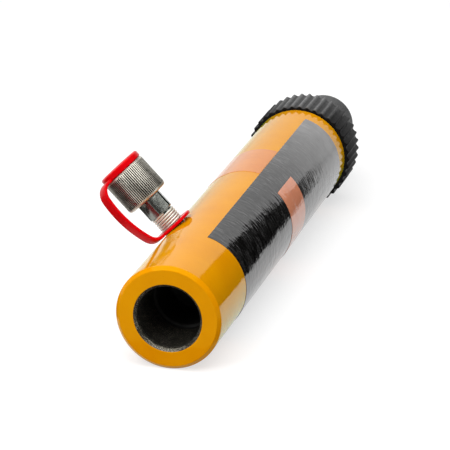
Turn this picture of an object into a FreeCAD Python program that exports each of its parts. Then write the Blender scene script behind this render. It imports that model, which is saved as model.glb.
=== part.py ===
"""Single-acting hydraulic pull cylinder, lying on its side.

The cylinder axis is the Y axis: the base end with its threaded socket is at low Y and the rod
comes out at high Y. Z is up. All lengths are millimetres. Stations along the cylinder are given
from the base end face, and station() turns one into a Y coordinate. The origin is on the axis
where the wall of the base socket starts, one mouth chamfer behind the end face.

The cylinder pulls: oil goes from the port down a drilling in the base block, along the thin gap
between the liner and the outer tube, and through cross holes at the gland into the rod side.
"""
import FreeCAD, Part
import math
import os

# Outer tube and base block
TUBE_WALL = 6.0
OIL_GAP = 0.5                # radial gap between the liner and the outer tube
END_CHAMFER = 2.4
COLLAR_STEP = 1.5            # the collar thread is this much smaller in radius than the tube
COLLAR_LENGTH = 29.2
BLOCK_LENGTH = 108.0         # full-diameter length of the base block
TUBE_SPIGOT = 6.0            # how far the block reaches into the outer tube
LINER_SPIGOT = 7.0           # how far the block reaches into the liner

# Threaded socket in the base end
SOCKET_R = 21.0
MOUTH_CHAMFER = 2.05
SOCKET_THREAD_LENGTH = 36.0
SOCKET_DEPTH = 68.0
SOCKET_BOTTOM_R = 19.3
VENT_R = 2.0
FILTER_R = 5.0
FILTER_THICKNESS = 5.0

# Liner, piston and travel
LINER_BORE_R = 25.0
LINER_WALL = 3.5
STROKE = 140.0
PISTON_LENGTH = 22.0
PISTON_CLEARANCE = 0.05
PISTON_SEAL_WIDTH = 5.0
PISTON_SEAL_DEPTH = 3.5
WEAR_RING_WIDTH = 6.0
WEAR_RING_DEPTH = 2.0
PISTON_LAND = 3.5            # width of the lands at the ends of the piston
NUT_WALL = 6.0
NUT_HEIGHT = 12.0
NUT_SINK = 7.0               # how far the nut sits in the piston
NUT_SLOT_WIDTH = 5.0
NUT_SLOT_DEPTH = 2.5
NUT_SLOTS = 4
CROSS_HOLE_R = 2.0
CROSS_HOLES = 6

# Return spring
SPRING_WIRE = 3.5
SPRING_TURNS = 10.0
SPRING_LENGTH = 48.0
SPRING_PLAY = 2.5            # radial, from the nut to the inside of the spring

# Rod and rod head
ROD_OD = 28.0
ROD_TAIL_OD = 20.0           # turned-down end inside the piston
ROD_THREAD_OD = 24.0
ROD_THREAD_LENGTH = 22.0
HEAD_OD = 43.8
HEAD_LENGTH = 54.0
HEAD_GAP = 1.5               # from the end of the tube to the rod head
HEAD_COUNTERBORE = 2.0
HEAD_CHAMFER = 2.0
HEAD_SOCKET_R = 12.7
HEAD_SOCKET_LENGTH = 24.0
HEAD_SOCKET_CHAMFER = 1.2
SET_SCREW_R = 3.0
SET_SCREW_SINK = 1.8         # how far the set screw lies below the surface of the rod head
SET_SCREW_KEY = 3.0          # across the flats of its hex socket
SET_SCREW_AT = 11.0          # from the back face of the rod head

# Gland at the rod end
GLAND_NOSE = 10.0            # length inside the liner
GLAND_FLANGE = 15.0          # length inside the outer tube
NOSE_RELIEF = 2.0            # how far the nose is cut back beside the cross holes
RELIEF_MARGIN = 1.0          # how far the cut goes past the cross holes
GLAND_GROOVE_AT = 3.5        # from the back of the flange to its outer groove
BUSH_LENGTH = 12.0
BUSH_WALL = 2.5
SEAL_LENGTH = 6.0
SEAL_DEPTH = 5.0
SEAL_END_PLAY = 0.2
SEAL_LAND = 2.5              # metal between the bush and the seal
GLAND_PLAY = 0.2             # radial, between the rod and the gland
O_RING_SECTION = 2.4
BACKUP_THICKNESS = 1.4
LOCK_RING_LENGTH = 8.0
LOCK_RING_SINK = 1.0         # how far the lock ring lies inside the end of the tube
LOCK_RING_THREAD_STEP = 1.6  # the lock ring is this much larger in radius than the tube bore
PIN_HOLE_R = 2.2
PIN_HOLE_DEPTH = 4.0
PIN_HOLES = 4
WIPER_DEPTH = 8.8            # radial, from the rod to the lock ring
WIPER_LENGTH = 7.0
WIPER_LIP = 1.2

# Ribbed collar protector
PROTECTOR_STAND = 3.65       # how far the ribs stand out from the tube
FLUTE_DEPTH = 1.75
PROTECTOR_OVERHANG = 3.2     # how far the ring reaches past the collar thread
PROTECTOR_RIBS = 40
PROTECTOR_CREST = 1.2        # width of the flat on each rib
PROTECTOR_CHAMFER = 1.0

# Oil port and coupler. Heights are measured from the cylinder axis along the coupler axis.
PORT_MARGIN = 0.85           # metal between the port and the end of the block
PORT_TILT = 44.5             # degrees from straight up, towards low X
PORT_R = 8.55                # thread of the port and of the nipple
PORT_DEPTH = 13.0
OIL_HOLE_R = 1.3
OIL_GROOVE_LENGTH = 4.0
OIL_GROOVE_DEPTH = 1.5
NIPPLE_DEPTH = 12.0          # how far the nipple is screwed into the port
NIPPLE_LENGTH = 12.3         # length of the nipple outside the tube
HEX_STEP = 0.05              # the flats of the hex stand this much outside the thread
HEX_CORNER = 0.85            # how far the turned-down corners stand out from the flats
HEX_TURN = 20.0              # degrees the hex is turned from square to the cylinder
HEX_LENGTH = 13.2
HEX_CHAMFER_WIDTH = 1.5
BARREL_STEP = 1.6            # width of the shoulder under the nose seal
BARREL_LENGTH = 13.5
NOSE_WALL = 1.8
NOSE_LENGTH = 4.0
NOSE_CHAMFER = 0.6
COUPLER_BORE_R = 3.2
CHAMBER_PLAY = 0.9           # radial, between the ball and its chamber
VALVE_SEAT_HEIGHT = 2.0      # thickness of the seat at the top of the nose
SEAT_OVERLAP = 0.3           # the seat is this much smaller in radius than the ball
SEAT_FLARE = 0.8
BALL_R = 3.9
BALL_SEAT_GAP = 0.05
BALL_TRAVEL = 3.0
RETAINER_THICKNESS = 2.0
RETAINER_HOLE_R = 1.4
VALVE_SPRING_WIRE = 0.8
VALVE_SPRING_INSET = 0.7     # the valve spring is this much smaller in radius than the ball
VALVE_SPRING_TURNS = 3.0
VALVE_SPRING_SPARE = 3.1     # length left over when the ball is pushed in all the way
SLEEVE_R = 15.5
SLEEVE_WALL = 3.1
SLEEVE_GAP = 0.2             # between the hex and the sleeve
SLEEVE_LENGTH = 24.9
SLEEVE_FLOOR = 3.2
SLEEVE_ROUND = 2.0
SLEEVE_TOP_CHAMFER = 0.6
SNAP_RING_THICKNESS = 1.2
SNAP_RING_WIDTH = 2.4
SNAP_RING_SINK = 0.5
SNAP_RING_GAP = 40.0         # degrees left open
NOSE_RING_SECTION = 2.0

# Dust cap with its strap and ring
CAP_THICKNESS = 4.4
CAP_ROUND = 1.0
PLUG_WALL = 2.4
PLUG_LENGTH = 5.6
STRAP_TURN = 65.0            # degrees from the low side of the tube towards the base end
STRAP_WIDTH = 7.5
STRAP_THICKNESS = 2.1
STRAP_LOW_RADIUS = 9.0
STRAP_TOP_RADIUS = 9.5
STRAP_SEAT = 0.6             # from the underside of the lid to the middle of the strap
STRAP_LOW_TURN = 68.0        # heading in degrees at the end of the low bend
STRAP_LONG_TURN = 100.0      # heading at the end of the long bow
STRAP_LEAD = 1.0             # straight part next to the ring
TIE_RING_WIDTH = 5.55
TIE_RING_THICKNESS = 2.0

# Stuck-on films
FILM_THICKNESS = 0.15
FILM_GLUE = 0.03
LABEL_OFFSET = 62.0          # from the base end face to the wrap label
LABEL_MARGIN = 15.8          # bare tube between the wrap label and the shoulder
LABEL_START = 14.5           # degrees from straight up, towards high X
LABEL_SWEEP = 190.0
BAND_OFFSET = 120.0          # from the start of the wrap label
BAND_LENGTH = 36.0
BAND_START = 44.0
BAND_SWEEP = 130.0
PATCH_OFFSET = 131.5         # from the start of the wrap label
PATCH_LENGTH = 49.5
PATCH_START = -62.0
PATCH_GAP = 0.3              # gap between the pale patch and the wrap label

# Clearances
RUNNING = 0.05               # radial, between pieces that turn or slide on each other
SEATED = 0.05                # radial, between pieces that are fitted together
SOFT = 0.3                   # round soft plastic
END_PLAY = 0.5               # axial, in grooves and where faces nearly meet
STROKE_SPARE = 1.5           # from the piston to the gland with the rod all the way out

# Small edges, and how far a cut reaches past the face it goes through
EDGE = 1.0
OVER = 1.0

# Radii worked out from the sizes above
LINER_OUT_R = LINER_BORE_R + LINER_WALL
BORE_R = LINER_OUT_R + OIL_GAP
BODY_R = BORE_R + TUBE_WALL
COLLAR_R = BODY_R - COLLAR_STEP
PROTECTOR_TIP_R = BODY_R + PROTECTOR_STAND
PROTECTOR_ROOT_R = PROTECTOR_TIP_R - FLUTE_DEPTH
ROD_R = ROD_OD / 2
TAIL_R = ROD_TAIL_OD / 2
ROD_THREAD_R = ROD_THREAD_OD / 2
NUT_R = TAIL_R + NUT_WALL
SPRING_OD = 2 * (NUT_R + SPRING_PLAY + SPRING_WIRE)
HEAD_R = HEAD_OD / 2
LOCK_RING_R = BORE_R + LOCK_RING_THREAD_STEP
LOCK_RING_BORE_R = ROD_R + WIPER_DEPTH
RING_GROOVE_DEPTH = O_RING_SECTION + 2 * SEATED
HEX_FLAT_R = PORT_R + HEX_STEP
HEX_CORNER_R = HEX_FLAT_R + HEX_CORNER
VALVE_CHAMBER_R = BALL_R + CHAMBER_PLAY
VALVE_SEAT_R = BALL_R - SEAT_OVERLAP
VALVE_SPRING_OD = 2 * (BALL_R - VALVE_SPRING_INSET)
NOSE_R = VALVE_CHAMBER_R + NOSE_WALL
BARREL_R = NOSE_R + BARREL_STEP
SLEEVE_BORE_R = SLEEVE_R - SLEEVE_WALL
CAP_R = SLEEVE_R
TIE_RING_R = PORT_R + SOFT + TIE_RING_WIDTH

# Stations worked out from the sizes above
PORT_AT = BLOCK_LENGTH - PORT_MARGIN - PORT_R
BLOCK_SEAT = BLOCK_LENGTH + TUBE_SPIGOT
BLOCK_FRONT = BLOCK_SEAT + LINER_SPIGOT
PISTON_BACK = BLOCK_FRONT + SPRING_LENGTH + END_PLAY
PISTON_FRONT = PISTON_BACK + PISTON_LENGTH
NUT_BACK = PISTON_BACK + NUT_SINK - NUT_HEIGHT
NOSE_BACK = PISTON_FRONT + STROKE + STROKE_SPARE
FLANGE_BACK = NOSE_BACK + GLAND_NOSE
FLANGE_FRONT = FLANGE_BACK + GLAND_FLANGE
TUBE_END = FLANGE_FRONT + LOCK_RING_LENGTH + LOCK_RING_SINK
SHOULDER_AT = TUBE_END - COLLAR_LENGTH
HEAD_BACK = TUBE_END + HEAD_GAP
HEAD_FRONT = HEAD_BACK + HEAD_LENGTH
LABEL_TO = SHOULDER_AT - LABEL_MARGIN
BAND_FROM = LABEL_OFFSET + BAND_OFFSET
PATCH_FROM = LABEL_OFFSET + PATCH_OFFSET

# Heights along the coupler axis worked out from the sizes above
NIPPLE_TOP = BODY_R + NIPPLE_LENGTH
HEX_TOP = NIPPLE_TOP + HEX_LENGTH
BARREL_TOP = HEX_TOP + BARREL_LENGTH
NOSE_TOP = BARREL_TOP + NOSE_LENGTH
SEAT_LOW = NOSE_TOP - VALVE_SEAT_HEIGHT
SLEEVE_BOTTOM = HEX_TOP + SLEEVE_GAP
SLEEVE_TOP = SLEEVE_BOTTOM + SLEEVE_LENGTH
CAP_BOTTOM = SLEEVE_TOP + SOFT
STRAP_LOW_HEIGHT = BODY_R + SOFT + TIE_RING_THICKNESS / 2
STRAP_TOP_HEIGHT = CAP_BOTTOM + STRAP_SEAT

UP = FreeCAD.Vector(0, 1, 0)
ORIGIN = FreeCAD.Vector(0, 0, 0)


def station(distance):
    """Y coordinate of a place that lies this far from the base end face."""
    return distance - MOUTH_CHAMFER


def turned(outline):
    """Solid turned about the Y axis from (radius, Y) corners."""
    corners = [FreeCAD.Vector(radius, along, 0) for radius, along in outline]
    face = Part.Face(Part.makePolygon(corners + corners[:1]))
    return face.revolve(ORIGIN, UP, 360)


def turned_at(outline):
    """Solid turned from (radius, station) corners."""
    return turned([(radius, station(distance)) for radius, distance in outline])


def round_bar(radius, low, high):
    """Plain cylinder on the Y axis between two heights."""
    return Part.makeCylinder(radius, high - low, FreeCAD.Vector(0, low, 0), UP)


def washer(inner, outer, low, high):
    """Plain ring on the Y axis between two heights."""
    return turned([(inner, low), (outer, low), (outer, high), (inner, high)])


def washer_at(inner, outer, low, high):
    """Plain ring between two stations."""
    return washer(inner, outer, station(low), station(high))


def round_ring(mean_radius, section, middle):
    """Ring of round section, such as an o-ring, on the Y axis."""
    return Part.makeTorus(mean_radius, section / 2, FreeCAD.Vector(0, middle, 0), UP)


def spun(shape, angle):
    """Copy of a shape turned about the Y axis."""
    copy = shape.copy()
    copy.rotate(ORIGIN, UP, angle)
    return copy


def spread(shape, count):
    """Copies of a shape, evenly spaced round the Y axis."""
    return [spun(shape, 360.0 * index / count) for index in range(count)]


def hex_bar(flat_radius, low, high):
    """Hexagonal bar on the Y axis, given the distance from its middle to a flat."""
    corner = 2 * flat_radius / math.sqrt(3)
    points = []
    for index in range(7):
        angle = math.radians(60 * index)
        points.append(FreeCAD.Vector(corner * math.cos(angle), low, corner * math.sin(angle)))
    return Part.Face(Part.makePolygon(points)).extrude(FreeCAD.Vector(0, high - low, 0))


def coil(outer_diameter, wire, length, turns, low):
    """Compression spring on the Y axis, round wire, open ends, between two heights."""
    mean_radius = (outer_diameter - wire) / 2
    pitch = (length - wire) / turns
    helix = Part.makeHelix(pitch, pitch * turns, mean_radius)
    start = FreeCAD.Vector(mean_radius, 0, 0)
    heading = FreeCAD.Vector(0, mean_radius, pitch / (2 * math.pi))
    section = Part.Wire([Part.makeCircle(wire / 2, start, heading)])
    spring = Part.Wire(helix.Edges).makePipeShell([section], True, True)
    spring.rotate(ORIGIN, FreeCAD.Vector(1, 0, 0), -90)
    spring.translate(FreeCAD.Vector(0, low + wire / 2, 0))
    return spring


def on_port(shape):
    """Move a shape from the Y axis to the coupler axis, heights kept from the cylinder axis."""
    moved = shape.copy()
    moved.rotate(ORIGIN, FreeCAD.Vector(1, 0, 0), 90)
    moved.rotate(ORIGIN, UP, -PORT_TILT)
    moved.translate(FreeCAD.Vector(0, station(PORT_AT), 0))
    return moved


def film(radius, start, sweep, low, high):
    """Thin film that lies round the tube between two stations, angles from straight up."""
    sheet = Part.Face(Part.makePolygon([
        FreeCAD.Vector(0, station(low), radius),
        FreeCAD.Vector(0, station(low), radius + FILM_THICKNESS),
        FreeCAD.Vector(0, station(high), radius + FILM_THICKNESS),
        FreeCAD.Vector(0, station(high), radius),
        FreeCAD.Vector(0, station(low), radius)]))
    return spun(sheet, start).revolve(ORIGIN, UP, sweep)


def base_block():
    """Solid base end: socket, oil port, spigots for the outer tube and the liner."""
    block = turned_at([
        (SOCKET_R + MOUTH_CHAMFER, 0),
        (BODY_R - END_CHAMFER, 0),
        (BODY_R, END_CHAMFER),
        (BODY_R, BLOCK_LENGTH),
        (BORE_R - SEATED, BLOCK_LENGTH),
        (BORE_R - SEATED, BLOCK_SEAT - OIL_GROOVE_LENGTH),
        (BORE_R - OIL_GROOVE_DEPTH, BLOCK_SEAT - OIL_GROOVE_LENGTH),
        (BORE_R - OIL_GROOVE_DEPTH, BLOCK_SEAT),
        (LINER_BORE_R - SEATED, BLOCK_SEAT),
        (LINER_BORE_R - SEATED, BLOCK_FRONT),
        (VENT_R, BLOCK_FRONT),
        (VENT_R, SOCKET_DEPTH + FILTER_THICKNESS),
        (FILTER_R, SOCKET_DEPTH + FILTER_THICKNESS),
        (FILTER_R, SOCKET_DEPTH),
        (SOCKET_BOTTOM_R, SOCKET_DEPTH),
        (SOCKET_BOTTOM_R, MOUTH_CHAMFER + SOCKET_THREAD_LENGTH + SOCKET_R - SOCKET_BOTTOM_R),
        (SOCKET_R, MOUTH_CHAMFER + SOCKET_THREAD_LENGTH),
        (SOCKET_R, MOUTH_CHAMFER)])
    port = on_port(round_bar(PORT_R, BODY_R - PORT_DEPTH, BODY_R + OVER))
    oil_radius = BORE_R - OIL_GROOVE_DEPTH + OIL_HOLE_R / 2
    drilling = Part.makeCylinder(OIL_HOLE_R, BLOCK_SEAT - PORT_AT + PORT_R / 2,
                                 FreeCAD.Vector(0, station(PORT_AT) - PORT_R / 2, oil_radius), UP)
    groove_low = BLOCK_FRONT - LINER_SPIGOT / 2 - O_RING_SECTION / 2 - END_PLAY / 2
    groove_high = groove_low + O_RING_SECTION + END_PLAY
    groove = washer_at(LINER_BORE_R - RING_GROOVE_DEPTH, LINER_BORE_R + OVER, groove_low, groove_high)
    return block.cut([port, spun(drilling, -PORT_TILT), groove])


def vent_filter():
    """Sintered plug that lets the spring side breathe through the bottom of the socket."""
    low = station(SOCKET_DEPTH) + SEATED
    return round_bar(FILTER_R - SEATED, low, low + FILTER_THICKNESS - SEATED)


def outer_tube():
    """Pressure tube with the collar thread and the thread for the lock ring."""
    tube = turned_at([
        (BORE_R, BLOCK_LENGTH),
        (BODY_R, BLOCK_LENGTH),
        (BODY_R, SHOULDER_AT),
        (COLLAR_R, SHOULDER_AT),
        (COLLAR_R, TUBE_END - END_PLAY),
        (COLLAR_R - END_PLAY, TUBE_END),
        (LOCK_RING_R + RUNNING, TUBE_END),
        (LOCK_RING_R + RUNNING, FLANGE_FRONT),
        (BORE_R, FLANGE_FRONT)])
    return tube


def inner_liner():
    """Thin tube that the piston runs in, with cross holes to the rod side."""
    liner = washer_at(LINER_BORE_R, LINER_OUT_R, BLOCK_SEAT, FLANGE_BACK)
    hole = Part.makeCylinder(CROSS_HOLE_R, LINER_OUT_R + OVER,
                             FreeCAD.Vector(0, station(NOSE_BACK), 0), FreeCAD.Vector(0, 0, 1))
    return liner.cut(spread(hole, CROSS_HOLES))


def liner_o_ring():
    """Seal between the base block and the liner."""
    mean = LINER_BORE_R - SEATED - O_RING_SECTION / 2
    return round_ring(mean, O_RING_SECTION, station(BLOCK_FRONT - LINER_SPIGOT / 2))


def gland_groove():
    """Stations of the two ends of the outer groove of the gland."""
    low = FLANGE_BACK + GLAND_GROOVE_AT
    return low, low + O_RING_SECTION + END_PLAY + BACKUP_THICKNESS


def rod_seal_pocket():
    """Stations of the two ends of the pocket for the rod seal."""
    low = NOSE_BACK + BUSH_LENGTH + SEAL_LAND
    return low, low + SEAL_LENGTH + SEAL_END_PLAY


def rod_gland():
    """Gland that closes the rod end: nose in the liner, flange in the outer tube."""
    pocket = ROD_R + BUSH_WALL
    seal_pocket = ROD_R + SEAL_DEPTH
    bore = ROD_R + GLAND_PLAY
    nose = LINER_BORE_R - SEATED
    relief_end = NOSE_BACK + CROSS_HOLE_R + RELIEF_MARGIN
    bush_end = NOSE_BACK + BUSH_LENGTH
    seal_low, seal_high = rod_seal_pocket()
    gland = turned_at([
        (pocket, NOSE_BACK),
        (nose - NOSE_RELIEF, NOSE_BACK),
        (nose - NOSE_RELIEF, relief_end),
        (nose, relief_end + NOSE_RELIEF),
        (nose, FLANGE_BACK),
        (BORE_R - SEATED, FLANGE_BACK),
        (BORE_R - SEATED, FLANGE_FRONT),
        (bore, FLANGE_FRONT),
        (bore, seal_high),
        (seal_pocket, seal_high),
        (seal_pocket, seal_low),
        (bore, seal_low),
        (bore, bush_end),
        (pocket, bush_end)])
    low, high = gland_groove()
    return gland.cut(washer_at(BORE_R - RING_GROOVE_DEPTH, BORE_R + OVER, low, high))


def rod_bush():
    """Bronze bush that guides the rod."""
    return washer_at(ROD_R + RUNNING, ROD_R + BUSH_WALL - SEATED / 2,
                     NOSE_BACK, NOSE_BACK + BUSH_LENGTH - SEATED)


def rod_seal():
    """Lip seal of U section round the rod."""
    low = rod_seal_pocket()[0] + SEAL_END_PLAY / 2
    high = low + SEAL_LENGTH
    inner = ROD_R + RUNNING
    outer = ROD_R + SEAL_DEPTH - SEATED
    third = (outer - inner) / 3
    return turned_at([
        (inner, low), (inner + third, low), (inner + third, low + SEAL_LENGTH / 2),
        (outer - third, low + SEAL_LENGTH / 2), (outer - third, low), (outer, low),
        (outer, high), (inner, high)])


def gland_o_ring():
    """Seal between the gland and the outer tube."""
    low, _ = gland_groove()
    mean = BORE_R - SEATED - O_RING_SECTION / 2
    return round_ring(mean, O_RING_SECTION, station(low + O_RING_SECTION / 2 + END_PLAY / 2))


def gland_backup_ring():
    """Hard ring that backs up the gland seal."""
    _, high = gland_groove()
    return washer_at(BORE_R - RING_GROOVE_DEPTH + SEATED, BORE_R - SEATED,
                     high - BACKUP_THICKNESS, high - SEATED)


def lock_ring():
    """Threaded ring that holds the gland, with pin holes for a spanner and a wiper seat."""
    inner = LOCK_RING_BORE_R
    low = FLANGE_FRONT + SEATED
    high = FLANGE_FRONT + LOCK_RING_LENGTH
    ring = turned_at([
        (inner, low), (LOCK_RING_R, low), (LOCK_RING_R, high - END_PLAY),
        (LOCK_RING_R - END_PLAY, high), (inner + END_PLAY, high), (inner, high - END_PLAY)])
    pitch_r = (LOCK_RING_R + inner) / 2
    hole = round_bar(PIN_HOLE_R, station(high - PIN_HOLE_DEPTH), station(high) + OVER)
    hole.translate(FreeCAD.Vector(pitch_r, 0, 0))
    return ring.cut(spread(hole, PIN_HOLES))


def rod_wiper():
    """Scraper that keeps dirt off the rod, with a lip that stands out of the lock ring."""
    inner = ROD_R + RUNNING
    outer = LOCK_RING_BORE_R - SEATED
    low = FLANGE_FRONT + SEATED
    high = low + WIPER_LENGTH
    return turned_at([
        (inner, low), (outer, low), (outer, high), (inner + WIPER_LIP * 2, high),
        (inner + WIPER_LIP * 2, high - WIPER_LIP), (inner + WIPER_LIP, high + WIPER_LIP / 2),
        (inner, high + WIPER_LIP / 2)])


def piston():
    """Piston with a seal groove, a wear ring groove and a sunk seat for its nut."""
    outer = LINER_BORE_R - PISTON_CLEARANCE
    body = turned_at([
        (NUT_R + SOFT, PISTON_BACK), (outer - EDGE, PISTON_BACK), (outer, PISTON_BACK + EDGE),
        (outer, PISTON_FRONT - EDGE), (outer - EDGE, PISTON_FRONT), (TAIL_R + SEATED, PISTON_FRONT),
        (TAIL_R + SEATED, PISTON_BACK + NUT_SINK), (NUT_R + SOFT, PISTON_BACK + NUT_SINK)])
    seal_low, seal_high = piston_seal_span()
    wear_low, wear_high = wear_ring_span()
    return body.cut([
        washer_at(outer - PISTON_SEAL_DEPTH, LINER_BORE_R + OVER, seal_low, seal_high),
        washer_at(outer - WEAR_RING_DEPTH, LINER_BORE_R + OVER, wear_low, wear_high)])


def piston_seal_span():
    """Stations of the seal groove in the piston."""
    return PISTON_FRONT - PISTON_LAND - PISTON_SEAL_WIDTH, PISTON_FRONT - PISTON_LAND


def wear_ring_span():
    """Stations of the wear ring groove in the piston."""
    return PISTON_BACK + PISTON_LAND, PISTON_BACK + PISTON_LAND + WEAR_RING_WIDTH


def groove_ring(span, depth):
    """Ring of square section that fills a groove of the piston."""
    low, high = span
    return washer_at(LINER_BORE_R - PISTON_CLEARANCE - depth + SEATED, LINER_BORE_R - RUNNING / 2,
                     low + SEATED, high - SEATED)


def piston_nut():
    """Round slotted nut that holds the piston on the rod."""
    nut = washer_at(TAIL_R + SEATED, NUT_R, NUT_BACK, PISTON_BACK + NUT_SINK)
    corner = FreeCAD.Vector(-NUT_SLOT_WIDTH / 2, station(NUT_BACK) - OVER, NUT_R - NUT_SLOT_DEPTH)
    slot = Part.makeBox(NUT_SLOT_WIDTH, NUT_HEIGHT + 2 * OVER, NUT_SLOT_DEPTH + OVER, corner)
    return nut.cut(spread(slot, NUT_SLOTS))


def piston_rod():
    """Chromed rod with a tail for the piston and a threaded end for the rod head."""
    tail_end = NUT_BACK - EDGE
    shoulder = HEAD_BACK + HEAD_COUNTERBORE
    rod_end = HEAD_BACK + ROD_THREAD_LENGTH
    return turned_at([
        (0, tail_end), (TAIL_R - EDGE, tail_end), (TAIL_R, tail_end + EDGE),
        (TAIL_R, PISTON_FRONT), (ROD_R, PISTON_FRONT), (ROD_R, shoulder),
        (ROD_THREAD_R, shoulder), (ROD_THREAD_R, rod_end - EDGE),
        (ROD_THREAD_R - EDGE, rod_end), (0, rod_end)])


def rod_head():
    """Head on the rod end with a threaded socket for a hook, a clevis or a bar."""
    shoulder = HEAD_BACK + HEAD_COUNTERBORE
    thread_end = HEAD_BACK + ROD_THREAD_LENGTH + END_PLAY
    front_floor = HEAD_FRONT - HEAD_SOCKET_CHAMFER - HEAD_SOCKET_LENGTH
    body = turned_at([
        (ROD_R + SEATED, HEAD_BACK), (HEAD_R - HEAD_CHAMFER / 2, HEAD_BACK),
        (HEAD_R, HEAD_BACK + HEAD_CHAMFER / 2), (HEAD_R, HEAD_FRONT - HEAD_CHAMFER),
        (HEAD_R - HEAD_CHAMFER, HEAD_FRONT), (HEAD_SOCKET_R + HEAD_SOCKET_CHAMFER, HEAD_FRONT),
        (HEAD_SOCKET_R, HEAD_FRONT - HEAD_SOCKET_CHAMFER), (HEAD_SOCKET_R, front_floor),
        (0, front_floor), (0, thread_end), (ROD_THREAD_R + SEATED, thread_end),
        (ROD_THREAD_R + SEATED, shoulder), (ROD_R + SEATED, shoulder)])
    return body.cut(set_screw_hole())


def set_screw_hole():
    """Radial hole for the set screw, straight up from the rod thread."""
    start = FreeCAD.Vector(0, station(HEAD_BACK + SET_SCREW_AT), 0)
    return Part.makeCylinder(SET_SCREW_R + SEATED, HEAD_R + OVER, start, FreeCAD.Vector(0, 0, 1))


def head_set_screw():
    """Set screw with a hex socket that locks the rod head on its thread."""
    low = ROD_THREAD_R + 2 * SEATED
    top = HEAD_R - SET_SCREW_SINK
    screw = round_bar(SET_SCREW_R, low, top)
    screw = screw.cut(hex_bar(SET_SCREW_KEY / 2, (low + top) / 2, top + OVER))
    screw.rotate(ORIGIN, FreeCAD.Vector(1, 0, 0), 90)
    screw.translate(FreeCAD.Vector(0, station(HEAD_BACK + SET_SCREW_AT), 0))
    return screw


def return_spring():
    """Spring between the base block and the piston that pushes the rod out again."""
    return coil(SPRING_OD, SPRING_WIRE, SPRING_LENGTH, SPRING_TURNS, station(BLOCK_FRONT) + END_PLAY / 2)


def protector_outline(along):
    """Closed outline of the ribbed protector: narrow crests with hollow flutes between them."""
    step = 2 * math.pi / PROTECTOR_RIBS
    half_crest = PROTECTOR_CREST / 2 / PROTECTOR_TIP_R

    def place(radius, angle):
        return FreeCAD.Vector(radius * math.sin(angle), along, radius * math.cos(angle))

    edges = []
    for index in range(PROTECTOR_RIBS):
        middle = index * step
        low, high = middle - half_crest, middle + half_crest
        edges.append(Part.makeLine(place(PROTECTOR_TIP_R, low), place(PROTECTOR_TIP_R, high)))
        flute = Part.Arc(place(PROTECTOR_TIP_R, high), place(PROTECTOR_ROOT_R, middle + step / 2),
                         place(PROTECTOR_TIP_R, low + step))
        edges.append(flute.toShape())
    return Part.Wire(edges)


def collar_protector():
    """Ribbed plastic ring screwed over the collar thread."""
    low = SHOULDER_AT + SEATED
    high = low + COLLAR_LENGTH + PROTECTOR_OVERHANG
    ribbed = Part.Face(protector_outline(station(low))).extrude(FreeCAD.Vector(0, high - low, 0))
    edge = PROTECTOR_CHAMFER / 2
    envelope = turned_at([
        (COLLAR_R + RUNNING, low), (PROTECTOR_TIP_R - edge, low), (PROTECTOR_TIP_R + edge, low + 2 * edge),
        (PROTECTOR_TIP_R + edge, high - 4 * edge), (PROTECTOR_TIP_R - edge, high),
        (COLLAR_R + RUNNING + edge, high), (COLLAR_R + RUNNING, high - edge)])
    return ribbed.common(envelope)


def coupler_body():
    """Nipple, hex and valve barrel of the quick coupler, bored through for the oil."""
    low = BODY_R - NIPPLE_DEPTH
    thread = PORT_R - SEATED
    nipple = turned([(0, low), (thread - EDGE, low), (thread, low + EDGE),
                     (thread, NIPPLE_TOP - EDGE), (PORT_R - EDGE, NIPPLE_TOP), (0, NIPPLE_TOP)])
    turned_hex = turned([(0, NIPPLE_TOP), (HEX_CORNER_R - HEX_CHAMFER_WIDTH, NIPPLE_TOP),
                         (HEX_CORNER_R, NIPPLE_TOP + EDGE), (HEX_CORNER_R, HEX_TOP), (0, HEX_TOP)])
    nut = spun(hex_bar(HEX_FLAT_R, NIPPLE_TOP, HEX_TOP), HEX_TURN).common(turned_hex)
    ring_low, ring_high = snap_ring_groove()
    groove = washer(BARREL_R - SNAP_RING_SINK, BARREL_R + OVER, ring_low, ring_high)
    barrel = turned([(0, HEX_TOP), (BARREL_R, HEX_TOP), (BARREL_R, BARREL_TOP), (NOSE_R, BARREL_TOP),
                     (NOSE_R, NOSE_TOP - NOSE_CHAMFER), (NOSE_R - NOSE_CHAMFER, NOSE_TOP), (0, NOSE_TOP)])
    floor = valve_spring_low() - RETAINER_THICKNESS - 2 * SEATED
    bore = turned([(0, low - OVER), (COUPLER_BORE_R, low - OVER), (COUPLER_BORE_R, floor),
                   (VALVE_CHAMBER_R, floor), (VALVE_CHAMBER_R, SEAT_LOW), (VALVE_SEAT_R, SEAT_LOW),
                   (VALVE_SEAT_R + SEAT_FLARE, NOSE_TOP + OVER), (0, NOSE_TOP + OVER)])
    body = nipple.fuse([nut, barrel]).removeSplitter().cut([groove, bore])
    return on_port(body)


def snap_ring_groove():
    """Heights of the two ends of the groove for the snap ring, just above the floor of the sleeve."""
    low = SLEEVE_BOTTOM + SLEEVE_FLOOR + 2 * RUNNING
    return low, low + SNAP_RING_THICKNESS + 2 * RUNNING


def ball_height():
    """Height of the middle of the check ball when it closes the seat."""
    reach = BALL_R + BALL_SEAT_GAP
    return SEAT_LOW - math.sqrt(reach ** 2 - VALVE_SEAT_R ** 2)


def valve_spring_top():
    """Height where the top turn of the valve spring meets the ball."""
    mean = (VALVE_SPRING_OD - VALVE_SPRING_WIRE) / 2
    reach = BALL_R + VALVE_SPRING_WIRE / 2 + SEATED
    return ball_height() - math.sqrt(reach ** 2 - mean ** 2) + VALVE_SPRING_WIRE / 2


def valve_spring_low():
    """Height of the foot of the valve spring, which leaves the ball its whole travel."""
    pressed_flat = VALVE_SPRING_WIRE * (VALVE_SPRING_TURNS + 1)
    return valve_spring_top() - pressed_flat - BALL_TRAVEL - VALVE_SPRING_SPARE


def check_ball():
    """Ball that closes the coupler when no hose is on."""
    return on_port(Part.makeSphere(BALL_R, FreeCAD.Vector(0, ball_height(), 0)))


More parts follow.
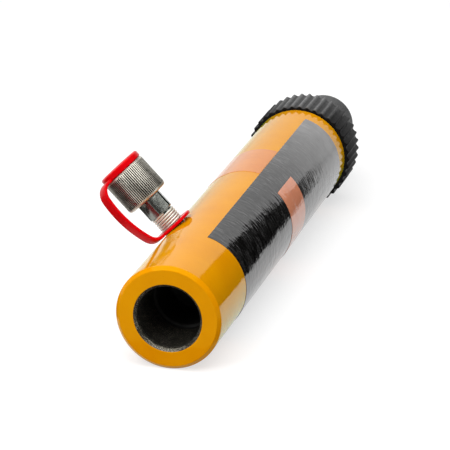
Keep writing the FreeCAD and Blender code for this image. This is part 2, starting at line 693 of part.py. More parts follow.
def valve_retainer():
    """Drilled washer that carries the valve spring."""
    top = valve_spring_low() - SEATED
    return on_port(washer(RETAINER_HOLE_R, VALVE_CHAMBER_R - SEATED, top - RETAINER_THICKNESS, top))


def valve_spring():
    """Small spring that holds the check ball on its seat."""
    low = valve_spring_low()
    length = valve_spring_top() - low
    return on_port(coil(VALVE_SPRING_OD, VALVE_SPRING_WIRE, length, VALVE_SPRING_TURNS, low))


def coupler_sleeve():
    """Round collar that turns on the coupler body and takes the hose half."""
    floor_top = SLEEVE_BOTTOM + SLEEVE_FLOOR
    bore = BARREL_R + RUNNING
    sleeve = turned([
        (bore, SLEEVE_BOTTOM), (SLEEVE_R, SLEEVE_BOTTOM), (SLEEVE_R, SLEEVE_TOP - SLEEVE_TOP_CHAMFER),
        (SLEEVE_R - SLEEVE_TOP_CHAMFER, SLEEVE_TOP), (SLEEVE_BORE_R + SLEEVE_TOP_CHAMFER, SLEEVE_TOP),
        (SLEEVE_BORE_R, SLEEVE_TOP - SLEEVE_TOP_CHAMFER), (SLEEVE_BORE_R, floor_top), (bore, floor_top)])
    lowest = [edge for edge in sleeve.Edges if abs(edge.BoundBox.YMax - SLEEVE_BOTTOM) < SEATED]
    outer_rim = max(lowest, key=lambda edge: edge.Length)
    return on_port(sleeve.makeFillet(SLEEVE_ROUND, [outer_rim]))


def sleeve_snap_ring():
    """Open ring that keeps the sleeve on the coupler body."""
    low = snap_ring_groove()[0] + RUNNING
    inner = BARREL_R - SNAP_RING_SINK + SEATED
    ring = washer(inner, inner + SNAP_RING_WIDTH, low, low + SNAP_RING_THICKNESS)
    far = 2 * (inner + SNAP_RING_WIDTH)
    half = math.radians(SNAP_RING_GAP / 2)
    under = low - OVER
    wedge = Part.Face(Part.makePolygon([
        FreeCAD.Vector(0, under, 0),
        FreeCAD.Vector(far * math.cos(half), under, far * math.sin(half)),
        FreeCAD.Vector(far * math.cos(half), under, -far * math.sin(half)),
        FreeCAD.Vector(0, under, 0)]))
    return on_port(ring.cut(wedge.extrude(FreeCAD.Vector(0, SNAP_RING_THICKNESS + 2 * OVER, 0))))


def coupler_o_ring():
    """Seal round the nose of the coupler."""
    mean = NOSE_R + SEATED + NOSE_RING_SECTION / 2
    return on_port(round_ring(mean, NOSE_RING_SECTION, BARREL_TOP + SEATED + NOSE_RING_SECTION / 2))


def dust_cap():
    """Lid of the dust cap with the plug that grips inside the sleeve."""
    top = CAP_BOTTOM + CAP_THICKNESS
    plug_r = SLEEVE_BORE_R - SOFT
    low = CAP_BOTTOM - PLUG_LENGTH
    lid = turned([
        (0, CAP_BOTTOM), (plug_r - PLUG_WALL, CAP_BOTTOM), (plug_r - PLUG_WALL, low),
        (plug_r - SLEEVE_TOP_CHAMFER, low), (plug_r, low + SLEEVE_TOP_CHAMFER), (plug_r, CAP_BOTTOM),
        (CAP_R, CAP_BOTTOM), (CAP_R, top - CAP_ROUND), (CAP_R - CAP_ROUND, top), (0, top)])
    return on_port(lid)


def strap_bends():
    """Bends of the strap as (radius, heading at the start, heading at the end), in degrees.

    The long bow between the two tight bends has the radius that brings the strap up to the lid.
    """
    low_cosine = math.cos(math.radians(STRAP_LOW_TURN))
    long_cosine = math.cos(math.radians(STRAP_LONG_TURN))
    rise = STRAP_TOP_HEIGHT - STRAP_LOW_HEIGHT
    rise -= STRAP_LOW_RADIUS * (1 - low_cosine) + STRAP_TOP_RADIUS * (1 + long_cosine)
    return [(STRAP_LOW_RADIUS, 0.0, STRAP_LOW_TURN),
            (rise / (low_cosine - long_cosine), STRAP_LOW_TURN, STRAP_LONG_TURN),
            (STRAP_TOP_RADIUS, STRAP_LONG_TURN, 180.0)]


def strap_side(offset):
    """Lines and arcs along one side of the strap, in its own flat plane."""
    half = STRAP_THICKNESS / 2
    outwards = TIE_RING_R + SEATED
    height = STRAP_LOW_HEIGHT
    edges = [((outwards, height - offset * half), (outwards + STRAP_LEAD, height - offset * half))]
    outwards += STRAP_LEAD
    arcs = []
    for radius, first, last in strap_bends():
        centre = (outwards - radius * math.sin(math.radians(first)),
                  height + radius * math.cos(math.radians(first)))
        reach = radius + offset * half
        spots = []
        for heading in (first, (first + last) / 2, last):
            angle = math.radians(heading)
            spots.append((centre[0] + reach * math.sin(angle), centre[1] - reach * math.cos(angle)))
        arcs.append(spots)
        outwards = centre[0] + radius * math.sin(math.radians(last))
        height = centre[1] - radius * math.cos(math.radians(last))
    end = (CAP_R + SEATED, height + offset * half)
    edges.append((arcs[-1][-1], end))
    return edges, arcs


def cap_strap():
    """Flexible strap that bows from the tie ring up to the lid."""

    def vector(spot):
        return FreeCAD.Vector(spot[0], spot[1], -STRAP_WIDTH / 2)

    outer_lines, outer_arcs = strap_side(1)
    inner_lines, inner_arcs = strap_side(-1)
    edges = []
    for lines, arcs in ((outer_lines, outer_arcs), (inner_lines, inner_arcs)):
        edges += [Part.makeLine(vector(first), vector(last)) for first, last in lines]
        edges += [Part.Arc(*[vector(spot) for spot in spots]).toShape() for spots in arcs]
    edges.append(Part.makeLine(vector(outer_lines[0][0]), vector(inner_lines[0][0])))
    edges.append(Part.makeLine(vector(outer_lines[1][1]), vector(inner_lines[1][1])))
    outline = Part.Wire(Part.__sortEdges__(edges))
    strap = Part.Face(outline).extrude(FreeCAD.Vector(0, 0, STRAP_WIDTH))
    return on_port(spun(strap, 180 + STRAP_TURN))


def tie_ring():
    """Flat ring of the dust cap that lies round the nipple."""
    low = BODY_R + SOFT
    return on_port(washer(PORT_R + SOFT, TIE_RING_R, low, low + TIE_RING_THICKNESS))


def label_wrap():
    """Dark film wrapped round the far side of the tube."""
    return film(BODY_R + FILM_GLUE, LABEL_START, LABEL_SWEEP, LABEL_OFFSET, LABEL_TO)


def label_band():
    """Orange block on the dark film."""
    radius = BODY_R + 2 * FILM_GLUE + FILM_THICKNESS
    return film(radius, BAND_START, BAND_SWEEP, BAND_FROM, BAND_FROM + BAND_LENGTH)


def pale_patch():
    """Pale orange film beside the dark one."""
    sweep = LABEL_START - math.degrees(PATCH_GAP / BODY_R) - PATCH_START
    return film(BODY_R + FILM_GLUE, PATCH_START, sweep, PATCH_FROM, PATCH_FROM + PATCH_LENGTH)


def seal_of_piston():
    """Seal in the front groove of the piston."""
    return groove_ring(piston_seal_span(), PISTON_SEAL_DEPTH)


def wear_ring_of_piston():
    """Guide ring in the back groove of the piston."""
    return groove_ring(wear_ring_span(), WEAR_RING_DEPTH)


NODES = {
    "base_block": base_block,
    "outer_tube": outer_tube,
    "inner_liner": inner_liner,
    "liner_o_ring": liner_o_ring,
    "vent_filter": vent_filter,
    "rod_gland": rod_gland,
    "rod_bush": rod_bush,
    "rod_seal": rod_seal,
    "rod_wiper": rod_wiper,
    "gland_o_ring": gland_o_ring,
    "gland_backup_ring": gland_backup_ring,
    "gland_lock_ring": lock_ring,
    "return_spring": return_spring,
    "piston": piston,
    "piston_seal": seal_of_piston,
    "piston_wear_ring": wear_ring_of_piston,
    "piston_nut": piston_nut,
    "piston_rod": piston_rod,
    "rod_head": rod_head,
    "head_set_screw": head_set_screw,
    "collar_protector": collar_protector,
    "coupler_body": coupler_body,
    "coupler_sleeve": coupler_sleeve,
    "sleeve_snap_ring": sleeve_snap_ring,
    "coupler_o_ring": coupler_o_ring,
    "check_ball": check_ball,
    "valve_spring": valve_spring,
    "valve_retainer": valve_retainer,
    "dust_cap": dust_cap,
    "cap_strap": cap_strap,
    "tie_ring": tie_ring,
    "label_wrap": label_wrap,
    "label_band": label_band,
    "pale_patch": pale_patch,
}


def main():
    """Make every piece and write it to its own file."""
    os.makedirs("parts", exist_ok=True)
    for name, make in NODES.items():
        shape = make()
        shape.exportStep(os.path.join("parts", name + ".step"))
        box = shape.BoundBox
        print(name, "valid" if shape.isValid() else "INVALID", "solids", len(shape.Solids),
              "volume", round(shape.Volume, 1), "y", round(box.YMin, 2), round(box.YMax, 2))


main()
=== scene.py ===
"""Looks of a single-acting hydraulic pull cylinder that lies on a white table.

Every length is in metres. The cylinder axis is the Y axis with the base end at low Y, Z is up, and
the quick coupler leans over to low X. Pieces are modelled upright, along the Z axis, and are then
laid onto the cylinder axis or the coupler axis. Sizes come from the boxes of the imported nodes.
"""

import logging
import math
from dataclasses import dataclass, field
from enum import Enum

import bmesh
import bpy
from mathutils import Matrix, Vector


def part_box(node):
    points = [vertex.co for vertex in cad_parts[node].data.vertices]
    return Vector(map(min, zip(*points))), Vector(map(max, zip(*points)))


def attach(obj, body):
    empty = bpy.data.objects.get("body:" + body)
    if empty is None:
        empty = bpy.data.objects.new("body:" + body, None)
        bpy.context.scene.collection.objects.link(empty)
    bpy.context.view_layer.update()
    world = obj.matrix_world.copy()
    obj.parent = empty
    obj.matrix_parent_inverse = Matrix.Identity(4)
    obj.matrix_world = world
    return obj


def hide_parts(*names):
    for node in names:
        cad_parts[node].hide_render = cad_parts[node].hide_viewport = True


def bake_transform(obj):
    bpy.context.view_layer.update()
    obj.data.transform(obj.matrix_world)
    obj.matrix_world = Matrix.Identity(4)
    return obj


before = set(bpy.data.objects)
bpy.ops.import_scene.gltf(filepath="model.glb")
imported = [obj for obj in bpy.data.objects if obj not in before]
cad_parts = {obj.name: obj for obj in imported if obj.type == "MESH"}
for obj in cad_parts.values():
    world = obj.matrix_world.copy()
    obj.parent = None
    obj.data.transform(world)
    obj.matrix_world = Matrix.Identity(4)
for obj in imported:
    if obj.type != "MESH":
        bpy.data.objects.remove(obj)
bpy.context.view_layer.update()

MM = 0.001
COUPLER_TILT = math.radians(44.5)
LAID = Matrix.Rotation(-math.pi / 2, 4, "X")
AROUND = (6.0, 1.0, 6.0)
LENGTHWAYS = (1.0, 4.0, 1.0)
WHITE = (1.0, 1.0, 1.0, 1.0)
LOG = logging.getLogger("pull_cylinder")
Corners = list[tuple[float, float]]


class Body(Enum):
    """Bodies of the assembly that pieces ride on."""

    CYLINDER = "cylinder"
    ROD = "rod"
    PROTECTOR = "protector"
    SLEEVE = "sleeve"
    BALL = "ball"
    CAP = "cap"


class Term:
    """A shader socket that can be used in arithmetic."""

    def __init__(self, graph: "Graph", socket: bpy.types.NodeSocket) -> None:
        """Wrap one output socket of a node tree."""
        self.graph = graph
        self.socket = socket

    def maths(self, operation: str, *others: "Term | float") -> "Term":
        """Add a Math node that starts with this socket and goes on with the other operands."""
        inputs = dict(enumerate((self, *others)))
        return self.graph.node("ShaderNodeMath", {"operation": operation}, inputs)

    def __add__(self, other: "Term | float") -> "Term":
        """Sum."""
        return self.maths("ADD", other)

    __radd__ = __add__

    def __mul__(self, other: "Term | float") -> "Term":
        """Product."""
        return self.maths("MULTIPLY", other)

    __rmul__ = __mul__


class Graph:
    """A shader node tree under construction."""

    def __init__(self, owner: "bpy.types.Material | bpy.types.World", output: str) -> None:
        """Empty the node tree of a material or world.

        Args:
            owner: The material or world.
            output: Type of its output node.
        """
        owner.use_nodes = True
        self.tree = owner.node_tree
        self.tree.nodes.clear()
        self.output = self.tree.nodes.new(output)

    def node(self, kind: str, settings: dict | None = None, inputs: dict | None = None,
             result: int | str = 0) -> Term:
        """Add one node.

        Args:
            kind: Node type.
            settings: Properties of the node.
            inputs: Values or terms for its sockets, by name or index.
            result: Name or index of the output to return.

        Returns:
            The chosen output.
        """
        made = self.tree.nodes.new(kind)
        for key, value in (settings or {}).items():
            setattr(made, key, value)
        for key, value in (inputs or {}).items():
            if isinstance(value, Term):
                self.tree.links.new(value.socket, made.inputs[key])
            else:
                made.inputs[key].default_value = value
        return Term(self, made.outputs[result])

    def ramp(self, value: Term, low: float, high: float, first: float = 0.0, last: float = 1.0) -> Term:
        """Map a span of a value to another span, held at both ends."""
        inputs = {"Value": value, "From Min": low, "From Max": high, "To Min": first, "To Max": last}
        return self.node("ShaderNodeMapRange", {"clamp": True}, inputs)

    def rays(self) -> list[Term]:
        """Whether a ray comes from the camera, from a glossy surface or through a clear one."""
        names = ("Is Camera Ray", "Is Glossy Ray", "Is Transmission Ray")
        return [self.node("ShaderNodeLightPath", result=name) for name in names]

    def close(self, shader: Term) -> None:
        """Lead a shader to the output."""
        self.tree.links.new(shader.socket, self.output.inputs["Surface"])


@dataclass(frozen=True)
class PaintedTopLight:
    """Painted top light: a pale grey laid on the upper side of a round piece, more on its crests than between
    them, standing in for light from above.
    """

    share: float
    low: float
    high: float
    root: float
    crest: float
    in_root: float = 1.0
    patch_size: float = 2.5 * MM
    colour: tuple = (0.30, 0.30, 0.30)


class Paint(Graph):
    """A node material under construction."""

    def __init__(self, name: str) -> None:
        """Start an empty material."""
        self.material = bpy.data.materials.new(name)
        super().__init__(self.material, "ShaderNodeOutputMaterial")

    def place(self) -> Term:
        """Object coordinates."""
        return self.node("ShaderNodeTexCoord", result="Object")

    def stretched(self, stretch: tuple, lean: float = 0.0) -> Term:
        """Object coordinates leaned about the Y axis and stretched along each axis."""
        inputs = {"Vector": self.place(), "Rotation": (0.0, lean, 0.0), "Scale": stretch}
        return self.node("ShaderNodeMapping", {"vector_type": "TEXTURE"}, inputs)

    def noise(self, size: float, detail: float, place: Term | None = None, rough: float = 0.5) -> Term:
        """Cloudy noise between nought and one.

        Args:
            size: Width of its blobs in metres.
            detail: Number of finer layers.
            place: Coordinates, plain object coordinates when left out.
            rough: Strength of the finer layers.

        Returns:
            The noise value.
        """
        inputs = {"Vector": place or self.place(), "Scale": 1.0 / size, "Detail": detail, "Roughness": rough}
        return self.node("ShaderNodeTexNoise", None, inputs, "Fac")

    def clouds(self, size: float, detail: float, low: float, high: float, first: float = 0.0,
               last: float = 1.0) -> Term:
        """Noise of which one span is mapped to another, held at both ends."""
        return self.ramp(self.noise(size, detail), low, high, first, last)

    def blend(self, share: Term, first: "tuple | Term", second: "tuple | Term") -> Term:
        """Mix two colours, with the share of the second one."""
        inputs = {"Factor": share, 6: self._colour(first), 7: self._colour(second)}
        return self.node("ShaderNodeMix", {"data_type": "RGBA"}, inputs, 2)

    def grey(self, value: Term) -> Term:
        """A grey of a given brightness."""
        return self.node("ShaderNodeCombineColor", None, {0: value, 1: value, 2: value})

    @staticmethod
    def _colour(shade: "tuple | Term") -> "tuple | Term":
        """A colour with its alpha, or the term as it is."""
        return shade if isinstance(shade, Term) or len(shade) == 4 else (*shade, 1.0)

    def along(self, axis: str) -> Term:
        """How far a point lies along the axis "X", "Y" or "Z", in metres."""
        return self.node("ShaderNodeSeparateXYZ", None, {"Vector": self.place()}, axis)

    def radius(self) -> Term:
        """How far a point lies from the cylinder axis, in metres."""
        inputs = {0: self.place(), 1: (1.0, 0.0, 1.0)}
        flat = self.node("ShaderNodeVectorMath", {"operation": "MULTIPLY"}, inputs)
        return self.node("ShaderNodeVectorMath", {"operation": "LENGTH"}, {0: flat}, "Value")

    def lit_from_above(self, colour: Term, top_light: PaintedTopLight) -> Term:
        """Paint a lighter top onto a colour, standing in for light from above.

        Args:
            colour: The clean colour.
            top_light: Where the painted top light lies and how much.

        Returns:
            The colour with the painted top light.
        """
        # Painted highlight: lighter towards the top and on the crests, standing in for light from above.
        height = self.ramp(self.along("Z"), top_light.low, top_light.high, 0.0, top_light.share)
        crest = self.ramp(self.radius(), top_light.root, top_light.crest, top_light.in_root, 1.0)
        patches = self.clouds(top_light.patch_size, 3.0, 0.3, 0.7, 0.6, 1.0)
        return self.blend(height * crest * patches, colour, top_light.colour)

    def relief(self, height: Term, depth: float, under: Term | None = None) -> Term:
        """Bump from a height.

        Args:
            height: Height between nought and one.
            depth: What a height of one is in metres.
            under: A coarser relief to put this one on.

        Returns:
            The bent normal.
        """
        inputs = {"Height": height, "Distance": depth, "Strength": 1.0}
        if under is not None:
            inputs["Normal"] = under
        return self.node("ShaderNodeBump", None, inputs)

    def finish(self, **sockets: "float | tuple | Term") -> bpy.types.Material:
        """Close the material with a Principled shader.

        Args:
            sockets: Values by socket name, with underscores for the spaces.

        Returns:
            The material.
        """
        titles = {"ior": "IOR", "specular_level": "Specular IOR Level"}
        inputs = {}
        for name, value in sockets.items():
            title = titles.get(name) or name.replace("_", " ").title()
            inputs[title] = self._colour(value) if isinstance(value, tuple) else value
        self.close(self.node("ShaderNodeBsdfPrincipled", None, inputs))
        return self.material


@dataclass(frozen=True)
class Enamel:
    """Glossy yellow-orange enamel with a slight orange peel."""

    colour: tuple = (0.80, 0.306, 0.0006)
    deep: tuple = (0.75, 0.264, 0.0006)
    fade_size: float = 30 * MM
    speck: tuple = (0.45, 0.13, 0.001)
    speck_size: float = 0.9 * MM
    speck_share: float = 0.25
    gloss: tuple = (0.05, 0.09)
    gloss_size: float = 12 * MM
    wave_size: float = 14 * MM
    wave_depth: float = 0.05 * MM
    peel_size: float = 2.2 * MM
    peel_depth: float = 0.022 * MM
    run_depth: float = 0.030 * MM
    ior: float = 1.38
    tint: tuple = (0.60, 0.90, 0.03)
    sheen: float = 0.27
    sheen_roughness: float = 0.35
    sheen_tint: tuple = (0.22, 1.0, 0.0)

    def make(self) -> bpy.types.Material:
        """Build the material."""
        paint = Paint("enamel")
        colour = paint.blend(paint.clouds(self.fade_size, 3.0, 0.35, 0.7), self.colour, self.deep)
        specks = paint.clouds(self.speck_size, 1.0, 0.72, 0.78)
        colour = paint.blend(specks * self.speck_share, colour, self.speck)
        gloss = paint.clouds(self.gloss_size, 4.0, 0.3, 0.75, *self.gloss)
        wavy = paint.relief(paint.noise(self.wave_size, 1.0), self.wave_depth)
        runs = paint.relief(paint.noise(self.peel_size, 2.0, paint.stretched(AROUND)), self.run_depth, wavy)
        peel = paint.relief(paint.noise(self.peel_size, 2.0), self.peel_depth, runs)
        return paint.finish(base_color=colour, roughness=gloss, normal=peel, ior=self.ior,
                            specular_tint=self.tint, sheen_weight=self.sheen,
                            sheen_roughness=self.sheen_roughness, sheen_tint=self.sheen_tint)


@dataclass(frozen=True)
class DarkSteel:
    """Phosphated or black-oxide steel, rough and speckled."""

    name: str
    colour: tuple
    speck: tuple
    speck_size: float
    roughness: float
    metallic: float = 0.85
    depth: float = 0.02 * MM
    top_light: PaintedTopLight | None = None
    stain_size: float = 9 * MM
    stain_share: float = 0.6
    dimming: float = 0.6

    def make(self) -> bpy.types.Material:
        """Build the material."""
        paint = Paint(self.name)
        grain = paint.noise(self.speck_size, 3.0, rough=0.7)
        colour = paint.blend(paint.ramp(grain, 0.52, 0.72), self.colour, self.speck)
        dimmer = tuple(self.dimming * part for part in self.colour)
        stain = paint.clouds(self.stain_size, 3.0, 0.45, 0.75)
        colour = paint.blend(stain * self.stain_share, colour, dimmer)
        if self.top_light:
            colour = paint.lit_from_above(colour, self.top_light)
        rough = paint.ramp(grain, 0.3, 0.7, self.roughness - 0.1, self.roughness + 0.12)
        return paint.finish(base_color=colour, metallic=self.metallic, roughness=rough,
                            normal=paint.relief(grain, self.depth))


class Lay(Enum):
    """Direction of fine tool marks: how far they are drawn out along each axis, and their lean."""

    CYLINDER = ((40.0, 1.0, 40.0), 0.0)
    COUPLER = ((40.0, 40.0, 1.0), -COUPLER_TILT)
    NONE = ((1.0, 1.0, 1.0), 0.0)


@dataclass(frozen=True)
class BrightMetal:
    """Turned, plated or ground metal with fine tool marks."""

    name: str
    colour: tuple
    shade: tuple
    roughness: float
    lay: Lay = Lay.CYLINDER
    mark_size: float = 0.25 * MM
    mark_depth: float = 0.004 * MM
    blotch: float = 0.35
    mark_share: float = 0.3
    stain_size: float = 4 * MM

    def make(self) -> bpy.types.Material:
        """Build the material."""
        paint = Paint(self.name)
        marks = paint.noise(self.mark_size, 2.0, paint.stretched(*self.lay.value))
        stain = paint.noise(self.stain_size, 4.0, rough=0.6)
        colour = paint.blend(paint.ramp(stain, 0.42, 0.72) * self.blotch, self.colour, self.shade)
        colour = paint.blend(paint.ramp(marks, 0.5, 0.8) * self.mark_share, colour, self.shade)
        rough = paint.ramp(stain, 0.3, 0.75, self.roughness * 0.8, self.roughness * 1.35)
        return paint.finish(base_color=colour, metallic=1.0, roughness=rough,
                            normal=paint.relief(marks, self.mark_depth))


@dataclass(frozen=True)
class Moulded:
    """Moulded plastic or rubber with a fine grain and faint scuffs."""

    name: str
    colour: tuple
    scuff: tuple
    roughness: float
    grain: float = 0.35 * MM
    depth: float = 0.006 * MM
    scuff_share: float = 0.35
    scuff_size: float = 6 * MM
    scuff_depth: float = 0.04 * MM
    ior: float = 1.47
    tint: tuple = (1.0, 1.0, 1.0)
    shine: float = 0.5
    top_light: PaintedTopLight | None = None

    def make(self) -> bpy.types.Material:
        """Build the material."""
        paint = Paint(self.name)
        clouds = paint.noise(self.scuff_size, 4.0, rough=0.65)
        colour = paint.blend(paint.ramp(clouds, 0.5, 0.72) * self.scuff_share, self.colour, self.scuff)
        if self.top_light:
            colour = paint.lit_from_above(colour, self.top_light)
        rough = paint.ramp(clouds, 0.3, 0.75, self.roughness * 0.85, self.roughness * 1.25)
        soft = paint.relief(clouds, self.scuff_depth)
        grain = paint.relief(paint.noise(self.grain, 2.0), self.depth, soft)
        return paint.finish(base_color=colour, roughness=rough, ior=self.ior, specular_tint=self.tint,
                            specular_level=self.shine, normal=grain)


@dataclass(frozen=True)
class Film:
    """Glossy printed film with slight ripples from being stuck on by hand, blended towards a second tint at
    its far end, with a painted reflection on its upper side.
    """

    name: str
    colour: tuple
    faded: tuple
    roughness: float = 0.07
    wave: float = 0.24 * MM
    wave_size: float = 5 * MM
    streak: float = 0.19 * MM
    streak_size: float = 2.6 * MM
    brush_size: float = 1.6 * MM
    fade_size: float = 16 * MM
    fleck: tuple = (0.5, 0.5, 0.5)
    fleck_size: float = 0.8 * MM
    fleck_share: float = 0.04
    ior: float = 1.55
    top_reflection: float = 0.35
    top_reflection_height: float = 30 * MM
    overlay_tint: tuple = (0.38, 0.375, 0.374)
    far_end_span: tuple = (0.15, 0.35)
    far_end_share: float = 0.9

    def make(self) -> bpy.types.Material:
        """Build the material."""
        paint = Paint(self.name)
        clouds = paint.noise(self.fade_size, 3.0)
        colour = paint.blend(paint.ramp(clouds, 0.35, 0.75), self.colour, self.faded)
        flecks = paint.clouds(self.fleck_size, 2.0, 0.66, 0.8)
        colour = paint.blend(flecks * self.fleck_share, colour, self.fleck)
        rough = paint.ramp(clouds, 0.3, 0.7, self.roughness * 0.8, self.roughness * 1.3)
        waves = paint.relief(paint.noise(self.wave_size, 2.0, paint.stretched(LENGTHWAYS)), self.wave)
        around = paint.stretched(AROUND)
        brushed = paint.ramp(paint.noise(self.brush_size, 3.0, around, 0.7), 0.50, 0.80)
        # Painted reflection: the upper side is blended towards the overlay tint, which on the dark film
        # stands in for the reflected key light.
        upper = paint.ramp(paint.along("Z"), 0.0, self.top_reflection_height, 0.1, 1.0)
        colour = paint.blend(brushed * self.top_reflection * upper, colour, self.overlay_tint)
        # Towards the far end the colour is blended towards the overlay tint.
        far_end = paint.ramp(paint.along("Y"), *self.far_end_span)
        far_end = far_end * far_end * paint.ramp(clouds, 0.2, 0.6, 0.6, 1.0)
        colour = paint.blend(far_end * self.far_end_share, colour, self.overlay_tint)
        threads = paint.noise(self.streak_size, 2.0, around) * paint.ramp(clouds, 0.35, 0.65, 0.45, 1.0)
        streaks = paint.relief(threads, self.streak, waves)
        return paint.finish(base_color=colour, roughness=rough, normal=streaks, ior=self.ior)


@dataclass(frozen=True)
class TablePaper:
    """Paper of the table: pale, lit a little so that it meets the white background."""

    albedo: float = 0.42
    mottle: float = 0.004
    mottle_size: float = 60 * MM
    lift: float = 0.66

    def make(self) -> bpy.types.Material:
        """Build the material."""
        paint = Paint("white_table")
        grain = paint.clouds(self.mottle_size, 2.0, 0.0, 1.0, self.albedo - self.mottle,
                             self.albedo + self.mottle)
        direct, glossy, through = paint.rays()
        seen = (direct + glossy + through).maths("MINIMUM", 1.0)
        matt = paint.node("ShaderNodeBsdfDiffuse", None, {"Color": paint.grey(grain)})
        glow = paint.node("ShaderNodeEmission", None, {"Color": WHITE, "Strength": seen * self.lift})
        paint.close(paint.node("ShaderNodeAddShader", None, {0: matt, 1: glow}))
        return paint.material


class Finishes:
    """The finishes of the object, each made once."""

    def __init__(self) -> None:
        """Make every finish."""
        self.enamel = Enamel().make()
        self.socket_steel = DarkSteel("socket_steel", (0.030, 0.028, 0.023), (0.50, 0.46, 0.37),
                                      0.7 * MM, 0.50, depth=0.05 * MM).make()
        self.socket_lip = DarkSteel("socket_lip", (0.05, 0.046, 0.036), (0.90, 0.85, 0.68),
                                    0.6 * MM, 0.42, depth=0.06 * MM).make()
        # Painted shade: a darker steel deep in the socket, where little light reaches.
        self.socket_deep_shade = DarkSteel("socket_deep_shade", (0.006, 0.006, 0.005), (0.020, 0.018, 0.015),
                                    0.7 * MM, 0.60, 0.3).make()
        # The black oxide carries painted top light: its upper side is paler.
        self.oxide = DarkSteel("black_oxide", (0.004, 0.004, 0.0042), (0.014, 0.0135, 0.0135),
                               1.2 * MM, 0.44, 0.55, 0.005 * MM,
                               PaintedTopLight(0.30, 14 * MM, 23 * MM, 20 * MM, 21 * MM)).make()
        # Painted shade: a darker steel for the knurl grooves.
        self.groove_painted_shade = DarkSteel("knurl_groove_painted_shade", (0.035, 0.032, 0.026), (0.09, 0.085, 0.07),
                                0.8 * MM, 0.45).make()
        self.turned = BrightMetal("turned_steel", (0.56, 0.55, 0.53), (0.34, 0.33, 0.31), 0.30).make()
        self.chrome = BrightMetal("hard_chrome", (0.74, 0.75, 0.77), (0.62, 0.63, 0.65), 0.09,
                                  mark_depth=0.0015 * MM, blotch=0.2).make()
        self.hex_steel = BrightMetal("bright_hex", (0.27, 0.28, 0.255), (0.17, 0.175, 0.16), 0.20,
                                     Lay.COUPLER, 1.5 * MM, 0.0001 * MM, 0.15).make()
        self.zinc = BrightMetal("zinc_thread", (0.80, 0.78, 0.70), (0.50, 0.48, 0.42), 0.50,
                                Lay.COUPLER, 1.5 * MM, 0.0004 * MM, 0.15).make()
        self.nickel = BrightMetal("dull_nickel", (0.64, 0.61, 0.53), (0.36, 0.34, 0.29), 0.38,
                                  Lay.COUPLER, blotch=0.22).make()
        self.spring = BrightMetal("spring_wire", (0.30, 0.30, 0.31), (0.16, 0.15, 0.14), 0.30,
                                  Lay.NONE).make()
        self.ball = BrightMetal("polished_ball", (0.72, 0.72, 0.73), (0.60, 0.60, 0.62), 0.05,
                                Lay.NONE, mark_depth=0.0005 * MM, blotch=0.15).make()
        self.bronze = BrightMetal("sintered_bronze", (0.50, 0.30, 0.13), (0.26, 0.15, 0.07), 0.42,
                                  Lay.NONE, 0.35 * MM, 0.05 * MM).make()
        self.red = Moulded("red_vinyl", (0.68, 0.0006, 0.003), (0.54, 0.001, 0.007), 0.30,
                           depth=0.004 * MM, scuff_share=0.6, ior=1.33, tint=(1.0, 0.10, 0.14)).make()
        # The ribbed nylon carries painted top light: its upper side and rib crests are paler.
        self.ribbed = Moulded("black_nylon", (0.004, 0.0038, 0.0042), (0.016, 0.015, 0.015), 0.40,
                              scuff_share=0.7, ior=1.33, shine=0.10,
                              top_light=PaintedTopLight(0.85, 28 * MM, 39.5 * MM, 37.2 * MM, 38.4 * MM, 0.30)).make()
        # Painted shade: a darker, glossier copy of the black nylon for the ring's front face.
        self.face_shade_black = Moulded("black_face_painted_shade", (0.003, 0.003, 0.003), (0.006, 0.006, 0.006), 0.40,
                                   ior=1.33, shine=0.2).make()
        self.rubber = Moulded("black_rubber", (0.020, 0.020, 0.021), (0.05, 0.05, 0.05), 0.55).make()
        self.seal = Moulded("seal_urethane", (0.60, 0.47, 0.20), (0.48, 0.36, 0.14), 0.40).make()
        self.dark_film = Film("dark_film", (0.0040, 0.0038, 0.0036), (0.0065, 0.0063, 0.0060)).make()
        self.orange_film = Film("orange_film", (0.76, 0.29, 0.16), (0.70, 0.26, 0.145), ior=1.5,
                                overlay_tint=(0.70, 0.32, 0.20), far_end_share=0.3).make()
        self.pale_film = Film("pale_film", (0.72, 0.26, 0.045), (0.66, 0.22, 0.040), wave=0.03 * MM,
                              streak=0.05 * MM, ior=1.45, overlay_tint=(0.60, 0.20, 0.04)).make()


@dataclass(frozen=True)
class Zone:
    """Where on an upright piece the middles of some faces lie."""

    low: float = -math.inf
    high: float = math.inf
    inner: float = -math.inf
    outer: float = math.inf

    def holds(self, face: bmesh.types.BMFace) -> bool:
        """Whether the middle of a face lies in the spans of height and of distance from the axis."""
        middle = face.calc_center_median()
        return self.low < middle.z < self.high and self.inner < math.hypot(middle.x, middle.y) < self.outer


